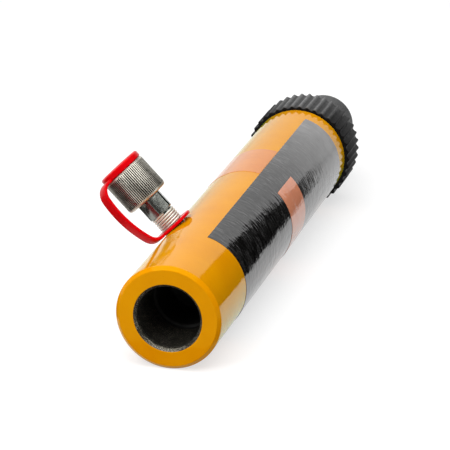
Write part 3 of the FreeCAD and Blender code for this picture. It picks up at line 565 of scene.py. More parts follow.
class Bench:
    """Modelling steps shared by all pieces, done upright on the Z axis."""

    MERGE = 0.002 * MM
    GUARD = 0.6 * MM

    @staticmethod
    def clear() -> None:
        """Deselect everything."""
        bpy.ops.object.select_all(action="DESELECT")

    @classmethod
    def hold(cls, piece: bpy.types.Object) -> None:
        """Make a piece the only selected and active one."""
        cls.clear()
        piece.select_set(True)
        bpy.context.view_layer.objects.active = piece

    @staticmethod
    def adopt(name: str, scale: tuple[float, float, float] = (1.0, 1.0, 1.0)) -> bpy.types.Object:
        """Name and scale the primitive just added, and put its place in its mesh.

        Args:
            name: Name of the piece.
            scale: Scale along each of its own axes.

        Returns:
            The piece.
        """
        piece = bpy.context.object
        piece.name = name
        piece.scale = scale
        bpy.ops.object.transform_apply(location=True, rotation=True, scale=True)
        return piece

    @staticmethod
    def select_open_edges() -> None:
        """Select the open edges of the mesh in edit mode."""
        bpy.ops.mesh.select_mode(type="EDGE")
        bpy.ops.mesh.select_all(action="DESELECT")
        bpy.ops.mesh.select_non_manifold()

    @classmethod
    def close_mesh(cls) -> None:
        """Merge doubled vertices, turn all faces outward and leave edit mode."""
        bpy.ops.mesh.select_all(action="SELECT")
        bpy.ops.mesh.remove_doubles(threshold=cls.MERGE)
        bpy.ops.mesh.normals_make_consistent(inside=False)
        bpy.ops.object.mode_set(mode="OBJECT")

    @classmethod
    def guarded(cls, profile: Corners) -> Corners:
        """Add a ring near both ends of every long stretch, so that it stays straight in the shading.

        Args:
            profile: Corners as (radius, height).

        Returns:
            The corners with the added rings.
        """
        corners = [profile[0]]
        for first, second in zip(profile, profile[1:]):
            stretch = math.dist(first, second)
            if stretch > 4 * cls.GUARD:
                for share in (cls.GUARD / stretch, 1 - cls.GUARD / stretch):
                    radius = first[0] + (second[0] - first[0]) * share
                    height = first[1] + (second[1] - first[1]) * share
                    corners.append((radius, height))
            corners.append(second)
        return corners

    @classmethod
    def turn(cls, name: str, profile: Corners, steps: int) -> bpy.types.Object:
        """Turn a piece on the Z axis by extruding a ring from corner to corner.

        Args:
            name: Name of the piece.
            profile: Corners as (radius, height). It starts and ends with a radius of nought where
                the piece is closed on the axis, and otherwise the last corner joins the first.
            steps: Number of edges round.

        Returns:
            The piece in object mode.
        """
        cls.clear()
        profile = cls.guarded(profile)
        has_poles = profile[0][0] <= 0
        profile = profile[1:] if has_poles else profile + profile[:1]
        radius, height = profile[0]
        bpy.ops.mesh.primitive_circle_add(vertices=steps, radius=radius, location=(0, 0, height),
                                          fill_type="TRIFAN" if has_poles else "NOTHING")
        piece = cls.adopt(name)
        bpy.ops.object.mode_set(mode="EDIT")
        cls.select_open_edges()
        for next_radius, next_height in profile[1:]:
            lift = (0, 0, next_height - height)
            bpy.ops.mesh.extrude_edges_move(TRANSFORM_OT_translate={"value": lift})
            if next_radius <= 0:
                bpy.ops.mesh.merge(type="CENTER")
                break
            share = next_radius / radius
            bpy.ops.transform.resize(value=(share, share, 1), center_override=(0, 0, next_height))
            radius, height = next_radius, next_height
        cls.close_mesh()
        return piece

    @classmethod
    def fluted(cls, name: str, repeats: int, petals: list[float], rings: list[tuple[float, float, float]],
               inner: Corners) -> bpy.types.Object:
        """Turn a piece whose outside repeats a small pattern round the axis.

        Args:
            name: Name of the piece.
            repeats: How often the pattern goes round.
            petals: Depth of each vertex of one pattern under the outer radius.
            rings: Outer rings as (outer radius, height, share of the depth that shows).
            inner: Plain rings of the inside, as (radius, height).

        Returns:
            The piece in object mode.
        """
        cls.clear()
        count = len(petals)
        total = repeats * count
        outer, before, _ = rings[0]
        bpy.ops.mesh.primitive_circle_add(vertices=total, radius=outer, location=(0, 0, before))
        piece = cls.adopt(name)
        bpy.ops.object.mode_set(mode="EDIT")
        reach = [outer] * count
        plain = [(radius, height, 0.0) for radius, height in inner]
        for index, (radius, height, share) in enumerate(rings + plain + rings[:1]):
            if index:
                bpy.ops.mesh.extrude_edges_move(TRANSFORM_OT_translate={"value": (0, 0, height - before)})
            before = height
            bpy.ops.mesh.select_mode(type="VERT")
            mesh = bmesh.from_edit_mesh(piece.data)
            ring = [vertex for vertex in mesh.verts if vertex.select]
            group_of = {vertex: round(math.atan2(vertex.co.y, vertex.co.x) / (2 * math.pi) * total) % count
                        for vertex in ring}
            for group, depth in enumerate(petals):
                target = radius - depth * share
                if abs(target - reach[group]) > 1e-9:
                    for vertex in ring:
                        vertex.select_set(group_of[vertex] == group)
                    scale = target / reach[group]
                    bpy.ops.transform.resize(value=(scale, scale, 1), center_override=(0, 0, height))
                    reach[group] = target
            for vertex in ring:
                vertex.select_set(True)
            mesh.select_flush(True)
        cls.close_mesh()
        return piece

    @classmethod
    def helix(cls, name: str, radius: float, tooth: float, sides: int, pitch: float, turns: float,
              low: float, steps: int) -> bpy.types.Object:
        """Sweep a small regular section along a helix round the Z axis.

        Args:
            name: Name of the piece.
            radius: Distance from the axis to the middle of the section.
            tooth: Radius of the section.
            sides: Number of sides of the section.
            pitch: Rise of one turn.
            turns: Number of turns.
            low: Height where it starts.
            steps: Number of sections in a turn.

        Returns:
            The piece in object mode.
        """
        cls.clear()
        bpy.ops.mesh.primitive_circle_add(vertices=sides, radius=tooth, location=(radius, 0, low),
                                          rotation=(math.pi / 2, 0, 0))
        piece = cls.adopt(name)
        screw = piece.modifiers.new("helix", "SCREW")
        screw.angle = 2 * math.pi * turns
        screw.screw_offset = pitch * turns
        screw.steps = max(3, int(steps * turns))
        screw.render_steps = screw.steps
        bpy.ops.object.modifier_apply(modifier="helix")
        bpy.ops.object.mode_set(mode="EDIT")
        cls.select_open_edges()
        bpy.ops.mesh.edge_face_add()
        bpy.ops.mesh.select_all(action="SELECT")
        bpy.ops.mesh.fill_holes(sides=sides)
        bpy.ops.mesh.normals_make_consistent(inside=False)
        bpy.ops.object.mode_set(mode="OBJECT")
        return piece

    @classmethod
    def soften(cls, piece: bpy.types.Object, width: float, segments: int = 3, angle: float = 25.0) -> None:
        """Round the edges of a piece that are sharper than an angle.

        Args:
            piece: The piece.
            width: Width of the rounding.
            segments: Number of faces across it.
            angle: The angle in degrees.
        """
        cls.hold(piece)
        bevel = piece.modifiers.new("edges", "BEVEL")
        bevel.width = width
        bevel.segments = segments
        bevel.limit_method = "ANGLE"
        bevel.angle_limit = math.radians(angle)
        bpy.ops.object.modifier_apply(modifier="edges")

    @classmethod
    def place(cls, piece: bpy.types.Object, matrix: Matrix) -> None:
        """Move a piece by a matrix and put its place in its mesh."""
        cls.hold(piece)
        piece.matrix_world = matrix @ piece.matrix_world
        bpy.ops.object.transform_apply(location=True, rotation=True, scale=True)

    @classmethod
    def dress(cls, piece: bpy.types.Object, look: bpy.types.Material,
              *others: "tuple[bpy.types.Material | Zone, ...]") -> None:
        """Give a piece one finish all over, and then others where their zones are.

        Args:
            piece: The piece, still upright.
            look: The finish all over.
            others: Tuples of a finish and its zones, of which a later one goes over an earlier one.
        """
        piece.data.materials.clear()
        piece.data.materials.append(look)
        for index, (other, *zones) in enumerate(others, start=1):
            piece.data.materials.append(other)
            cls.hold(piece)
            bpy.ops.object.mode_set(mode="EDIT")
            bpy.ops.mesh.select_mode(type="FACE")
            bpy.ops.mesh.select_all(action="DESELECT")
            mesh = bmesh.from_edit_mesh(piece.data)
            for face in mesh.faces:
                if any(zone.holds(face) for zone in zones):
                    face.select_set(True)
            mesh.select_flush_mode()
            bmesh.update_edit_mesh(piece.data)
            piece.active_material_index = index
            bpy.ops.object.material_slot_assign()
            bpy.ops.object.mode_set(mode="OBJECT")

    @classmethod
    def settle(cls, piece: bpy.types.Object, matrix: Matrix, angle: float = 30.0) -> None:
        """Shade a finished piece smooth up to an angle in degrees, and put it in its place."""
        cls.hold(piece)
        bpy.ops.object.shade_smooth_by_angle(angle=math.radians(angle))
        cls.place(piece, matrix)


def report(piece: bpy.types.Object, body: Body, slot: str, *nodes: str) -> None:
    """Tie a finished piece to its body and hide the nodes that it stands for.

    Args:
        piece: The finished piece.
        body: Body it rides on.
        slot: Not used.
        nodes: Nodes that it replaces.
    """
    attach(piece, body.value)
    if nodes:
        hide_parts(*nodes)
    LOG.info("%s: %d faces, rides on %s", piece.name, len(piece.data.polygons), body.value)


def report_flexible(piece: bpy.types.Object, body: Body, node: str) -> None:
    """Hide the node that a finished piece stands for and put its place into its mesh, for a piece that bends
    or shortens in the real object.

    Args:
        piece: The finished piece.
        body: Body that its far end would follow, named in the log only.
        node: Node that it replaces.
    """
    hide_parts(node)
    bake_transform(piece)
    LOG.info("%s: %d faces, flexes between cylinder and %s", piece.name, len(piece.data.polygons), body.value)


@dataclass
class Group:
    """A sub-assembly of the object."""

    looks: Finishes


@dataclass
class Barrel(Group):
    """The painted base block and outer tube, seen as one, with the bare socket and collar thread."""

    steps: int = 192
    bands: int = 8
    rounding: float = 0.25 * MM
    mouth_chamfer: float = 2.05 * MM
    end_chamfer: float = 2.4 * MM
    socket_r: float = 21.0 * MM
    thread_length: float = 36.0 * MM
    thread_pitch: float = 2.2 * MM
    thread_rise: float = 0.22 * MM
    bottom_r: float = 19.3 * MM
    vent_r: float = 5.0 * MM
    tube_wall: float = 6.0 * MM
    lock_thread_step: float = 1.6 * MM
    collar_length: float = 29.2 * MM
    collar_step: float = 1.5 * MM
    collar_chamfer: float = 0.5 * MM
    collar_pitch: float = 2.1 * MM
    collar_tooth: float = 0.55 * MM

    def build(self) -> None:
        """Model the barrel and its collar thread."""
        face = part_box("base_block")[0].y
        tube_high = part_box("outer_tube")[1]
        end, radius = tube_high.y, tube_high.x
        shoulder = end - self.collar_length
        collar = radius - self.collar_step
        bore = radius - self.tube_wall
        recess = bore + self.lock_thread_step
        lock_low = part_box("gland_lock_ring")[0].y
        vent_low, vent_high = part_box("vent_filter")
        inner_end = vent_high.y
        wall_start = face + self.mouth_chamfer
        wall_end = wall_start + self.thread_length
        painted = face + self.end_chamfer
        length = shoulder - painted
        profile = [
            (self.vent_r, vent_low.y), (self.bottom_r, vent_low.y),
            (self.bottom_r, wall_end + self.socket_r - self.bottom_r), (self.socket_r, wall_end),
            *self.ridges(wall_end, wall_start),
            (self.socket_r, wall_start), (self.socket_r + self.mouth_chamfer, face),
            (radius - self.end_chamfer, face), (radius, painted),
            *((radius, painted + length * index / self.bands) for index in range(1, self.bands + 1)),
            (collar, shoulder), (collar, end - self.collar_chamfer), (collar - self.collar_chamfer, end),
            (recess, end), (recess, lock_low), (bore, lock_low), (bore, inner_end), (self.vent_r, inner_end)]
        piece = Bench.turn("painted_barrel", profile, self.steps)
        Bench.soften(piece, self.rounding)
        lip = self.socket_r + 0.9 * self.mouth_chamfer
        Bench.dress(
            piece, self.looks.enamel,
            (self.looks.socket_steel, Zone(high=inner_end, outer=lip)),
            (self.looks.turned, Zone(low=shoulder - 0.01 * MM), Zone(low=inner_end, outer=radius - 0.5 * MM)),
            (self.looks.socket_lip, Zone(high=wall_start + self.thread_pitch, outer=lip)),
            # Painted shade deep in the socket.
            (self.looks.socket_deep_shade, Zone(wall_end - self.thread_pitch, inner_end, outer=lip)))
        Bench.settle(piece, LAID)
        report(piece, Body.CYLINDER, "painted_steel", "base_block", "outer_tube")
        turns = (end - shoulder - 2 * self.collar_pitch) / self.collar_pitch
        ridge = Bench.helix("collar_thread", collar - self.collar_tooth, self.collar_tooth, 4,
                            self.collar_pitch, turns, shoulder + self.collar_pitch, 72)
        Bench.dress(ridge, self.looks.turned)
        Bench.settle(ridge, LAID)
        report(ridge, Body.CYLINDER, "painted_steel")

    def ridges(self, high: float, low: float) -> Corners:
        """Profile of the thread ridges in the socket.

        Args:
            high: Height of the inner end of the thread.
            low: Height of its outer end.

        Returns:
            Corners from the inner end to the outer one.
        """
        corners = []
        for index in range(int((high - low) / self.thread_pitch)):
            crest = high - (index + 0.75) * self.thread_pitch
            root = high - (index + 1.0) * self.thread_pitch
            corners += [(self.socket_r - self.thread_rise, crest), (self.socket_r - 0.001 * MM, root)]
        return corners[:-1]


@dataclass
class Protector(Group):
    """The ribbed black ring over the collar thread."""

    ribs: int = 40
    flute_depth: float = 1.75 * MM
    chamfer: float = 1.0 * MM
    bore_step: float = 1.45 * MM
    bore_chamfer: float = 0.4 * MM
    petals: tuple = (0.0, 0.0, 0.42, 0.80, 0.97, 0.97, 0.80, 0.42)

    def build(self) -> None:
        """Model the ring."""
        low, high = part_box("collar_protector")
        near, far, tip = low.y, high.y, high.z
        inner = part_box("outer_tube")[1].x - self.bore_step
        depths = [share * self.flute_depth for share in self.petals]
        rings = [(tip - self.chamfer, near, 0.72), (tip - 0.25 * MM, near + 0.30 * MM, 0.93),
                 (tip, near + self.chamfer, 1.0), (tip, far - 2 * self.chamfer, 1.0),
                 (tip - 0.35 * MM, far - 0.8 * self.chamfer, 0.95), (tip - 1.2 * self.chamfer, far, 0.6)]
        inside = [(inner + self.bore_chamfer, far), (inner, far - self.bore_chamfer), (inner, near)]
        piece = Bench.fluted("ribbed_ring", self.ribs, depths, rings, inside)
        # The front face gets the darker copy of the nylon as painted shade.
        Bench.dress(piece, self.looks.ribbed, (self.looks.face_shade_black, Zone(high=near + 0.05 * MM)))
        Bench.settle(piece, LAID, 40.0)
        report(piece, Body.PROTECTOR, "black_plastic", "collar_protector")


@dataclass
class RodEnd(Group):
    """The rod with its threaded head."""

    steps: int = 128
    tail_r: float = 10.0 * MM
    thread_r: float = 12.0 * MM
    rod_chamfer: float = 1.0 * MM
    rod_depth: float = 22.8 * MM
    rod_play: float = 0.05 * MM
    counterbore: float = 2.0 * MM
    head_chamfer: float = 2.0 * MM
    socket_r: float = 12.7 * MM
    socket_length: float = 24.0 * MM
    socket_chamfer: float = 1.2 * MM
    drill_point: float = 3.0 * MM
    thread_pitch: float = 3.0 * MM
    tooth: float = 0.8 * MM
    tooth_sink: float = 0.1 * MM

    def build(self) -> None:
        """Model the rod, the head and the thread in its socket."""
        low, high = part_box("piston_rod")
        head_low, head_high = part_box("rod_head")
        rod_r, head_r = high.x, head_high.x
        piston_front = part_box("piston")[1].y
        shoulder = head_low.y + self.counterbore
        edge = self.rod_chamfer
        rod = Bench.turn("chromed_rod", [
            (0, low.y), (self.tail_r - edge, low.y), (self.tail_r, low.y + edge),
            (self.tail_r, piston_front), (rod_r, piston_front), (rod_r, shoulder), (self.thread_r, shoulder),
            (self.thread_r, high.y - edge), (self.thread_r - edge, high.y), (0, high.y)], self.steps)
        Bench.soften(rod, 0.2 * MM)
        Bench.dress(rod, self.looks.chrome)
        Bench.settle(rod, LAID)
        report(rod, Body.ROD, "hard_chrome", "piston_rod")
        back, front = head_low.y, head_high.y
        thread_r, neck_r = self.thread_r + self.rod_play, rod_r + self.rod_play
        bottom = front - self.socket_chamfer - self.socket_length
        head = Bench.turn("rod_end_head", [
            (0, back + self.rod_depth), (thread_r, back + self.rod_depth), (thread_r, shoulder),
            (neck_r, shoulder), (neck_r, back), (head_r - self.head_chamfer / 2, back),
            (head_r, back + self.head_chamfer / 2), (head_r, front - self.head_chamfer),
            (head_r - self.head_chamfer, front), (self.socket_r + self.socket_chamfer, front),
            (self.socket_r, front - self.socket_chamfer), (self.socket_r, bottom),
            (0, bottom - self.drill_point)], self.steps)
        Bench.soften(head, 0.3 * MM)
        Bench.dress(head, self.looks.oxide)
        Bench.settle(head, LAID)
        report(head, Body.ROD, "black_oxide_steel", "rod_head")
        turns = (front - bottom - 2 * self.thread_pitch) / self.thread_pitch
        ridge = Bench.helix("head_socket_thread", self.socket_r + self.tooth_sink, self.tooth, 4,
                            self.thread_pitch, turns, bottom + 0.5 * self.thread_pitch, 64)
        Bench.dress(ridge, self.looks.oxide)
        Bench.settle(ridge, LAID)
        report(ridge, Body.ROD, "black_oxide_steel")


@dataclass
class CouplerAxis:
    """Where the coupler stands on the tube, and how far its nodes reach."""

    matrix: Matrix = field(init=False)
    tube_r: float = field(init=False)

    def __post_init__(self) -> None:
        """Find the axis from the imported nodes."""
        ring_low, ring_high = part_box("tie_ring")
        station = (ring_low.y + ring_high.y) / 2
        self.matrix = Matrix.Translation((0, station, 0)) @ Matrix.Rotation(-COUPLER_TILT, 4, "Y")
        self.tube_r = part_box("outer_tube")[1].x

    def spots(self, node: str) -> list[Vector]:
        """Vertices of a node as seen from the upright coupler."""
        back = self.matrix.inverted()
        return [back @ vertex.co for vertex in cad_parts[node].data.vertices]

    def span(self, node: str) -> tuple[float, float]:
        """Lowest and highest point of a node along the axis."""
        heights = [spot.z for spot in self.spots(node)]
        return min(heights), max(heights)

    def reach(self, node: str) -> float:
        """Largest distance of a node from the axis."""
        return max(math.hypot(spot.x, spot.y) for spot in self.spots(node))


@dataclass
class CouplerGroup(Group):
    """A sub-assembly on the coupler axis."""

    axis: CouplerAxis
    steps: int = 96

    def settle(self, piece: bpy.types.Object, look: bpy.types.Material, body: Body, slot: str,
               *nodes: str, angle: float = 30.0) -> None:
        """Dress, shade, place and report an upright piece of one finish.

        Args:
            piece: The piece.
            look: Its finish.
            body: Body it rides on.
            slot: Not used.
            nodes: Nodes that it replaces.
            angle: Angle in degrees up to which it is shaded smooth.
        """
        Bench.dress(piece, look)
        Bench.settle(piece, self.axis.matrix, angle)
        report(piece, body, slot, *nodes)


@dataclass
class Sleeve(CouplerGroup):
    """The knurled sleeve of the coupler."""

    knurls: int = 72
    knurl_depth: float = 0.45 * MM
    wall: float = 3.1 * MM
    floor: float = 3.2 * MM
    neck_r: float = 8.25 * MM
    neck_chamfer: float = 0.3 * MM
    mouth_chamfer: float = 0.6 * MM
    rounding: float = 2.0 * MM

    def build(self) -> None:
        """Model the sleeve."""
        low, high = self.axis.span("coupler_sleeve")
        radius = self.axis.reach("coupler_sleeve")
        bore = radius - self.wall
        depths = [0.0, 0.0, 0.0, self.knurl_depth, self.knurl_depth]
        rings = [(self.neck_r + self.neck_chamfer, low, 0.0)]
        for index in range(6):
            angle = math.radians(90.0 * index / 5)
            rings.append((radius - self.rounding * (1 - math.sin(angle)),
                          low + self.rounding * (1 - math.cos(angle)), 1.0 if index >= 4 else 0.0))
        rings += [(radius, high - 1.4 * MM, 1.0), (radius - 0.25 * MM, high - 1.0 * MM, 0.2),
                  (radius - 0.25 * MM, high - 0.4 * MM, 0.0), (radius - 0.6 * MM, high, 0.0)]
        inside = [(bore + self.mouth_chamfer, high), (bore, high - self.mouth_chamfer),
                  (bore, low + self.floor), (self.neck_r, low + self.floor),
                  (self.neck_r, low + self.neck_chamfer)]
        sleeve = Bench.fluted("knurled_sleeve", self.knurls, depths, rings, inside)
        grooves = Zone(low + self.rounding, high - 1.3 * MM, bore + 1.0 * MM, radius - 0.15 * MM)
        # The groove floors get the darker steel as painted shade.
        Bench.dress(sleeve, self.looks.nickel, (self.looks.groove_painted_shade, grooves))
        Bench.settle(sleeve, self.axis.matrix, 35.0)
        report(sleeve, Body.SLEEVE, "knurled_nickel", "coupler_sleeve")


@dataclass
class Fitting(CouplerGroup):
    """The body of the coupler: nipple with its thread, hex and valve barrel."""

    nipple_r: float = 8.5 * MM
    nipple_chamfer: float = 1.0 * MM
    port_play: float = 0.1 * MM
    root_depth: float = 1.1 * MM
    thread_pitch: float = 1.8 * MM
    tooth: float = 0.80 * MM
    hex_gap: float = 12.3 * MM
    hex_length: float = 13.2 * MM
    hex_turn: float = math.radians(20.0)
    hex_flat: float = 8.6 * MM
    hex_corner: float = 9.45 * MM
    barrel_length: float = 13.5 * MM
    barrel_r: float = 8.2 * MM
    nose_r: float = 6.6 * MM
    nose_chamfer: float = 0.6 * MM
    mouth_r: float = 4.2 * MM
    seat_r: float = 3.6 * MM
    seat_depth: float = 2.0 * MM
    chamber_r: float = 4.8 * MM
    chamber_depth: float = 18.0 * MM
    oil_r: float = 3.2 * MM

    def build(self) -> None:
        """Model the body of the coupler and the thread of its nipple."""
        low, top = self.axis.span("coupler_body")
        tube_r = self.axis.tube_r
        hex_low = tube_r + self.hex_gap
        hex_top = hex_low + self.hex_length
        barrel_top = hex_top + self.barrel_length
        core = self.nipple_r - self.root_depth
        port = self.nipple_r - self.port_play
        piece = Bench.turn("coupler_core", [
            (self.oil_r, low), (self.nipple_r - self.nipple_chamfer, low), (port, low + self.nipple_chamfer),
            (port, tube_r - 0.6 * MM), (core, tube_r - 0.2 * MM), (core, hex_low + 0.1 * MM), (core, hex_top),
            (self.barrel_r, hex_top), (self.barrel_r, barrel_top), (self.nose_r, barrel_top),
            (self.nose_r, top - self.nose_chamfer), (self.nose_r - self.nose_chamfer, top),
            (self.mouth_r, top), (self.seat_r, top - self.seat_depth),
            (self.chamber_r, top - self.seat_depth), (self.chamber_r, top - self.chamber_depth),
            (self.oil_r, top - self.chamber_depth)], self.steps)
        Bench.soften(piece, 0.12 * MM, 2)
        self.settle(piece, self.looks.hex_steel, Body.CYLINDER, "machined_steel", "coupler_body")
        turns = (hex_low - tube_r) / self.thread_pitch
        ridge = Bench.helix("nipple_thread", self.nipple_r - self.tooth, self.tooth, 10,
                            self.thread_pitch, turns, tube_r - 0.2 * MM, 72)
        self.settle(ridge, self.looks.zinc, Body.CYLINDER, "machined_steel")
        self.build_hex(hex_low, hex_top)

    def build_hex(self, low: float, high: float) -> None:
        """Model the hex with its turned corners and chamfered lower end.

        Args:
            low: Height of its lower end.
            high: Height of its upper end.
        """
        Bench.clear()
        bpy.ops.mesh.primitive_cylinder_add(vertices=6, radius=self.hex_flat / math.cos(math.pi / 6),
                                            depth=high - low, location=(0, 0, (low + high) / 2),
                                            rotation=(0, 0, self.hex_turn))
        hexagon = Bench.adopt("coupler_hex")
        envelope = Bench.turn("hex_envelope", [
            (0, low), (self.hex_corner - 1.5 * MM, low), (self.hex_corner, low + 1.0 * MM),
            (self.hex_corner, high - 0.3 * MM), (self.hex_corner - 0.3 * MM, high), (0, high)], self.steps)
        Bench.hold(hexagon)
        cut = hexagon.modifiers.new("corners", "BOOLEAN")
        cut.operation = "INTERSECT"
        cut.solver = "EXACT"
        cut.object = envelope
        bpy.ops.object.modifier_apply(modifier="corners")
        bpy.data.objects.remove(envelope)
        Bench.soften(hexagon, 0.45 * MM, 3, 20.0)
        self.settle(hexagon, self.looks.hex_steel, Body.CYLINDER, "machined_steel", angle=75.0)


@dataclass
class DustCap(CouplerGroup):
    """The red cap of the coupler: lid, ring round the nipple and the strap between them."""

    lid_play: float = 0.06 * MM
    lid_gap: float = 0.3 * MM
    plug_inset: float = 3.4 * MM
    plug_chamfer: float = 0.6 * MM
    plug_wall: float = 2.4 * MM
    ring_bore: float = 8.85 * MM
    strap_width: float = 7.5 * MM
    strap_thickness: float = 2.1 * MM
    strap_turn: float = math.radians(245.0)
    strap_steps: int = 14
    strap_lead: float = 1.5 * MM
    low_bend_r: float = 9.0 * MM
    top_bend_r: float = 9.5 * MM
    low_bend: float = math.radians(68.0)
    long_bend: float = math.radians(100.0)
    stiff_end: float = 4.0 * MM

    def build(self) -> None:
        """Model the lid, the ring and the strap."""
        low, high = self.axis.span("dust_cap")
        radius = self.axis.reach("dust_cap") - self.lid_play
        rim = self.axis.span("coupler_sleeve")[1] + self.lid_gap
        plug = radius - self.plug_inset
        hollow = plug - self.plug_wall
        lid = Bench.turn("dust_cap_lid", [
            (0, high - 0.5 * MM), (radius - 3.2 * MM, high - 0.5 * MM), (radius - 2.4 * MM, high - 0.05 * MM),
            (radius - 0.9 * MM, high - 0.05 * MM), (radius, high - 0.95 * MM), (radius, rim + 0.35 * MM),
            (radius - 0.35 * MM, rim), (plug, rim), (plug, low + self.plug_chamfer),
            (plug - self.plug_chamfer, low), (hollow, low), (hollow, rim + 0.3 * MM),
            (0, rim + 0.3 * MM)], self.steps)
        Bench.soften(lid, 0.25 * MM)
        self.settle(lid, self.looks.red, Body.CAP, "red_plastic", "dust_cap", angle=45.0)
        ring_low, ring_high = self.axis.span("tie_ring")
        outer = self.axis.reach("tie_ring")
        ring = Bench.turn("nipple_ring", [
            (self.ring_bore, ring_low), (outer, ring_low), (outer, ring_high),
            (self.ring_bore, ring_high)], self.steps)
        Bench.soften(ring, 0.55 * MM, 4)
        self.settle(ring, self.looks.red, Body.CYLINDER, "red_plastic", "tie_ring", angle=50.0)
        self.build_strap((ring_low + ring_high) / 2, rim + 0.6 * MM)

    def build_strap(self, foot: float, top: float) -> None:
        """Model the strap that bows from the ring up to the lid.

        Args:
            foot: Height where it leaves the ring.
            top: Height where it meets the lid.
        """
        first, second = self.low_bend, self.long_bend
        rise = (top - foot - self.low_bend_r * (1 - math.cos(first))
                - self.top_bend_r * (1 + math.cos(second)))
        long_bend_r = rise / (math.cos(first) - math.cos(second))
        out = self.axis.reach("tie_ring") - 0.5 * MM
        Bench.clear()
        bpy.ops.mesh.primitive_plane_add(size=1.0, location=(out, 0, foot), rotation=(0, math.pi / 2, 0))
        strap = Bench.adopt("bowed_strap", (self.strap_thickness, self.strap_width, 1.0))
        bpy.ops.object.mode_set(mode="EDIT")
        bpy.ops.mesh.select_all(action="SELECT")
        bpy.ops.mesh.extrude_region_move(TRANSFORM_OT_translate={"value": (self.strap_lead, 0, 0)})
        out, height, heading = out + self.strap_lead, foot, 0.0
        for radius, target in ((self.low_bend_r, first), (long_bend_r, second), (self.top_bend_r, math.pi)):
            centre = (out - radius * math.sin(heading), 0, height + radius * math.cos(heading))
            bpy.ops.mesh.spin(steps=self.strap_steps, angle=target - heading, center=centre, axis=(0, 1, 0))
            heading = target
            out = centre[0] + radius * math.sin(heading)
            height = centre[2] - radius * math.cos(heading)
        inward = (self.axis.reach("dust_cap") - 0.6 * MM - out, 0, 0)
        bpy.ops.mesh.extrude_region_move(TRANSFORM_OT_translate={"value": inward})
        Bench.close_mesh()
        Bench.soften(strap, 0.55 * MM, 3, 50.0)
        Bench.dress(strap, self.looks.red)
        Bench.settle(strap, self.axis.matrix @ Matrix.Rotation(self.strap_turn, 4, "Z"), 50.0)
        end = self.axis.matrix @ Vector((0, 0, top - self.stiff_end))
        report_flexible(strap, Body.CAP, "cap_strap")


@dataclass
class Films(Group):
    """The films stuck on the tube."""

    sink: float = 0.02 * MM
    least_steps: int = 8

    def build(self) -> None:
        """Model the wrap label, the orange block and the pale patch."""
        self.build_film("label_wrap", "wrap_label", self.looks.dark_film, "dark_film")
        self.build_film("label_band", "orange_block", self.looks.orange_film, "orange_film")
        self.build_film("pale_patch", "pale_label", self.looks.pale_film, "pale_film")

    def build_film(self, node: str, name: str, look: bpy.types.Material, slot: str) -> None:
        """Model one film as a thin strip swept round the tube.

        Args:
            node: Node that it replaces.
            name: Name of the piece.
            look: Its finish.
            slot: Not used.
        """
        spots = [vertex.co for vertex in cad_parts[node].data.vertices]
        radii = [math.hypot(spot.x, spot.z) for spot in spots]
        angles = [math.atan2(spot.x, spot.z) for spot in spots]
        angles = [angle if angle > -math.pi / 2 else angle + 2 * math.pi for angle in angles]
        low, high = min(spot.y for spot in spots), max(spot.y for spot in spots)
        inner, outer = min(radii) - self.sink, max(radii)
        start, end = min(angles), max(angles)
        Bench.clear()
        bpy.ops.mesh.primitive_plane_add(size=1.0, location=((outer + inner) / 2, (high + low) / 2, 0))
        film = Bench.adopt(name, (outer - inner, high - low, 1.0))
        Bench.place(film, Matrix.Rotation(start - math.pi / 2, 4, "Y"))
        bpy.ops.object.mode_set(mode="EDIT")
        bpy.ops.mesh.select_all(action="SELECT")
        steps = max(self.least_steps, int(math.degrees(end - start)))
        bpy.ops.mesh.spin(steps=steps, angle=end - start, center=(0, 0, 0), axis=(0, -1, 0))
        Bench.close_mesh()
        Bench.dress(film, look)
        Bench.settle(film, Matrix(), 40.0)
        report(film, Body.CYLINDER, slot, node)


@dataclass
class Springs(CouplerGroup):
    """The return spring and the valve spring, each modelled at one length although the real springs change
    length with what they push.
    """

    steps: int = 48
    return_wire: float = 3.5 * MM
    return_outer_r: float = 22.0 * MM
    return_turns: float = 10.0
    return_length: float = 48.0 * MM
    return_gap: float = 0.25 * MM
    valve_wire: float = 0.8 * MM
    valve_r: float = 2.8 * MM
    valve_turns: float = 3.0

    def build(self) -> None:
        """Model both springs."""
        wire, length = self.return_wire, self.return_length
        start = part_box("base_block")[1].y + self.return_gap
        spring = Bench.helix("return_coil", self.return_outer_r - wire / 2, wire / 2, 12,
                             (length - wire) / self.return_turns, self.return_turns,
                             start + wire / 2, self.steps)
        Bench.dress(spring, self.looks.spring)
        Bench.settle(spring, LAID, 50.0)
        report_flexible(spring, Body.ROD, "return_spring")
        wire = self.valve_wire
        bottom, top = self.axis.span("valve_spring")
        coil = Bench.helix("valve_coil", self.valve_r, wire / 2, 10,
                           (top - bottom - wire) / self.valve_turns, self.valve_turns,
                           bottom + wire / 2, self.steps)
        Bench.dress(coil, self.looks.spring)
        Bench.settle(coil, self.axis.matrix, 50.0)
        report_flexible(coil, Body.BALL, "valve_spring")


def dress_nodes(looks: Finishes) -> None:
    """Give every node that is shown as it was packed its finish.

    Args:
        looks: The finishes.
    """
    nodes_of = (
        (looks.turned, ("inner_liner", "rod_gland", "piston", "valve_retainer")),
        (looks.rubber, ("liner_o_ring", "gland_o_ring", "coupler_o_ring")),
        (looks.seal, ("rod_seal", "rod_wiper", "gland_backup_ring", "piston_seal")),
        (looks.bronze, ("vent_filter", "rod_bush", "piston_wear_ring")),
        (looks.oxide, ("gland_lock_ring", "piston_nut", "head_set_screw")),
        (looks.spring, ("sleeve_snap_ring",)),
        (looks.ball, ("check_ball",)),
    )
    for look, nodes in nodes_of:
        for node in nodes:
            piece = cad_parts[node]
            piece.data.materials.clear()
            piece.data.materials.append(look)
            LOG.info("%s: finish %s", node, look.name)


@dataclass(frozen=True)
class Card:
    """A black card: where it lies or stands, and its top where it stands upright."""

    name: str
    left: float
    right: float
    near: float
    far: float
    top: float | None = None


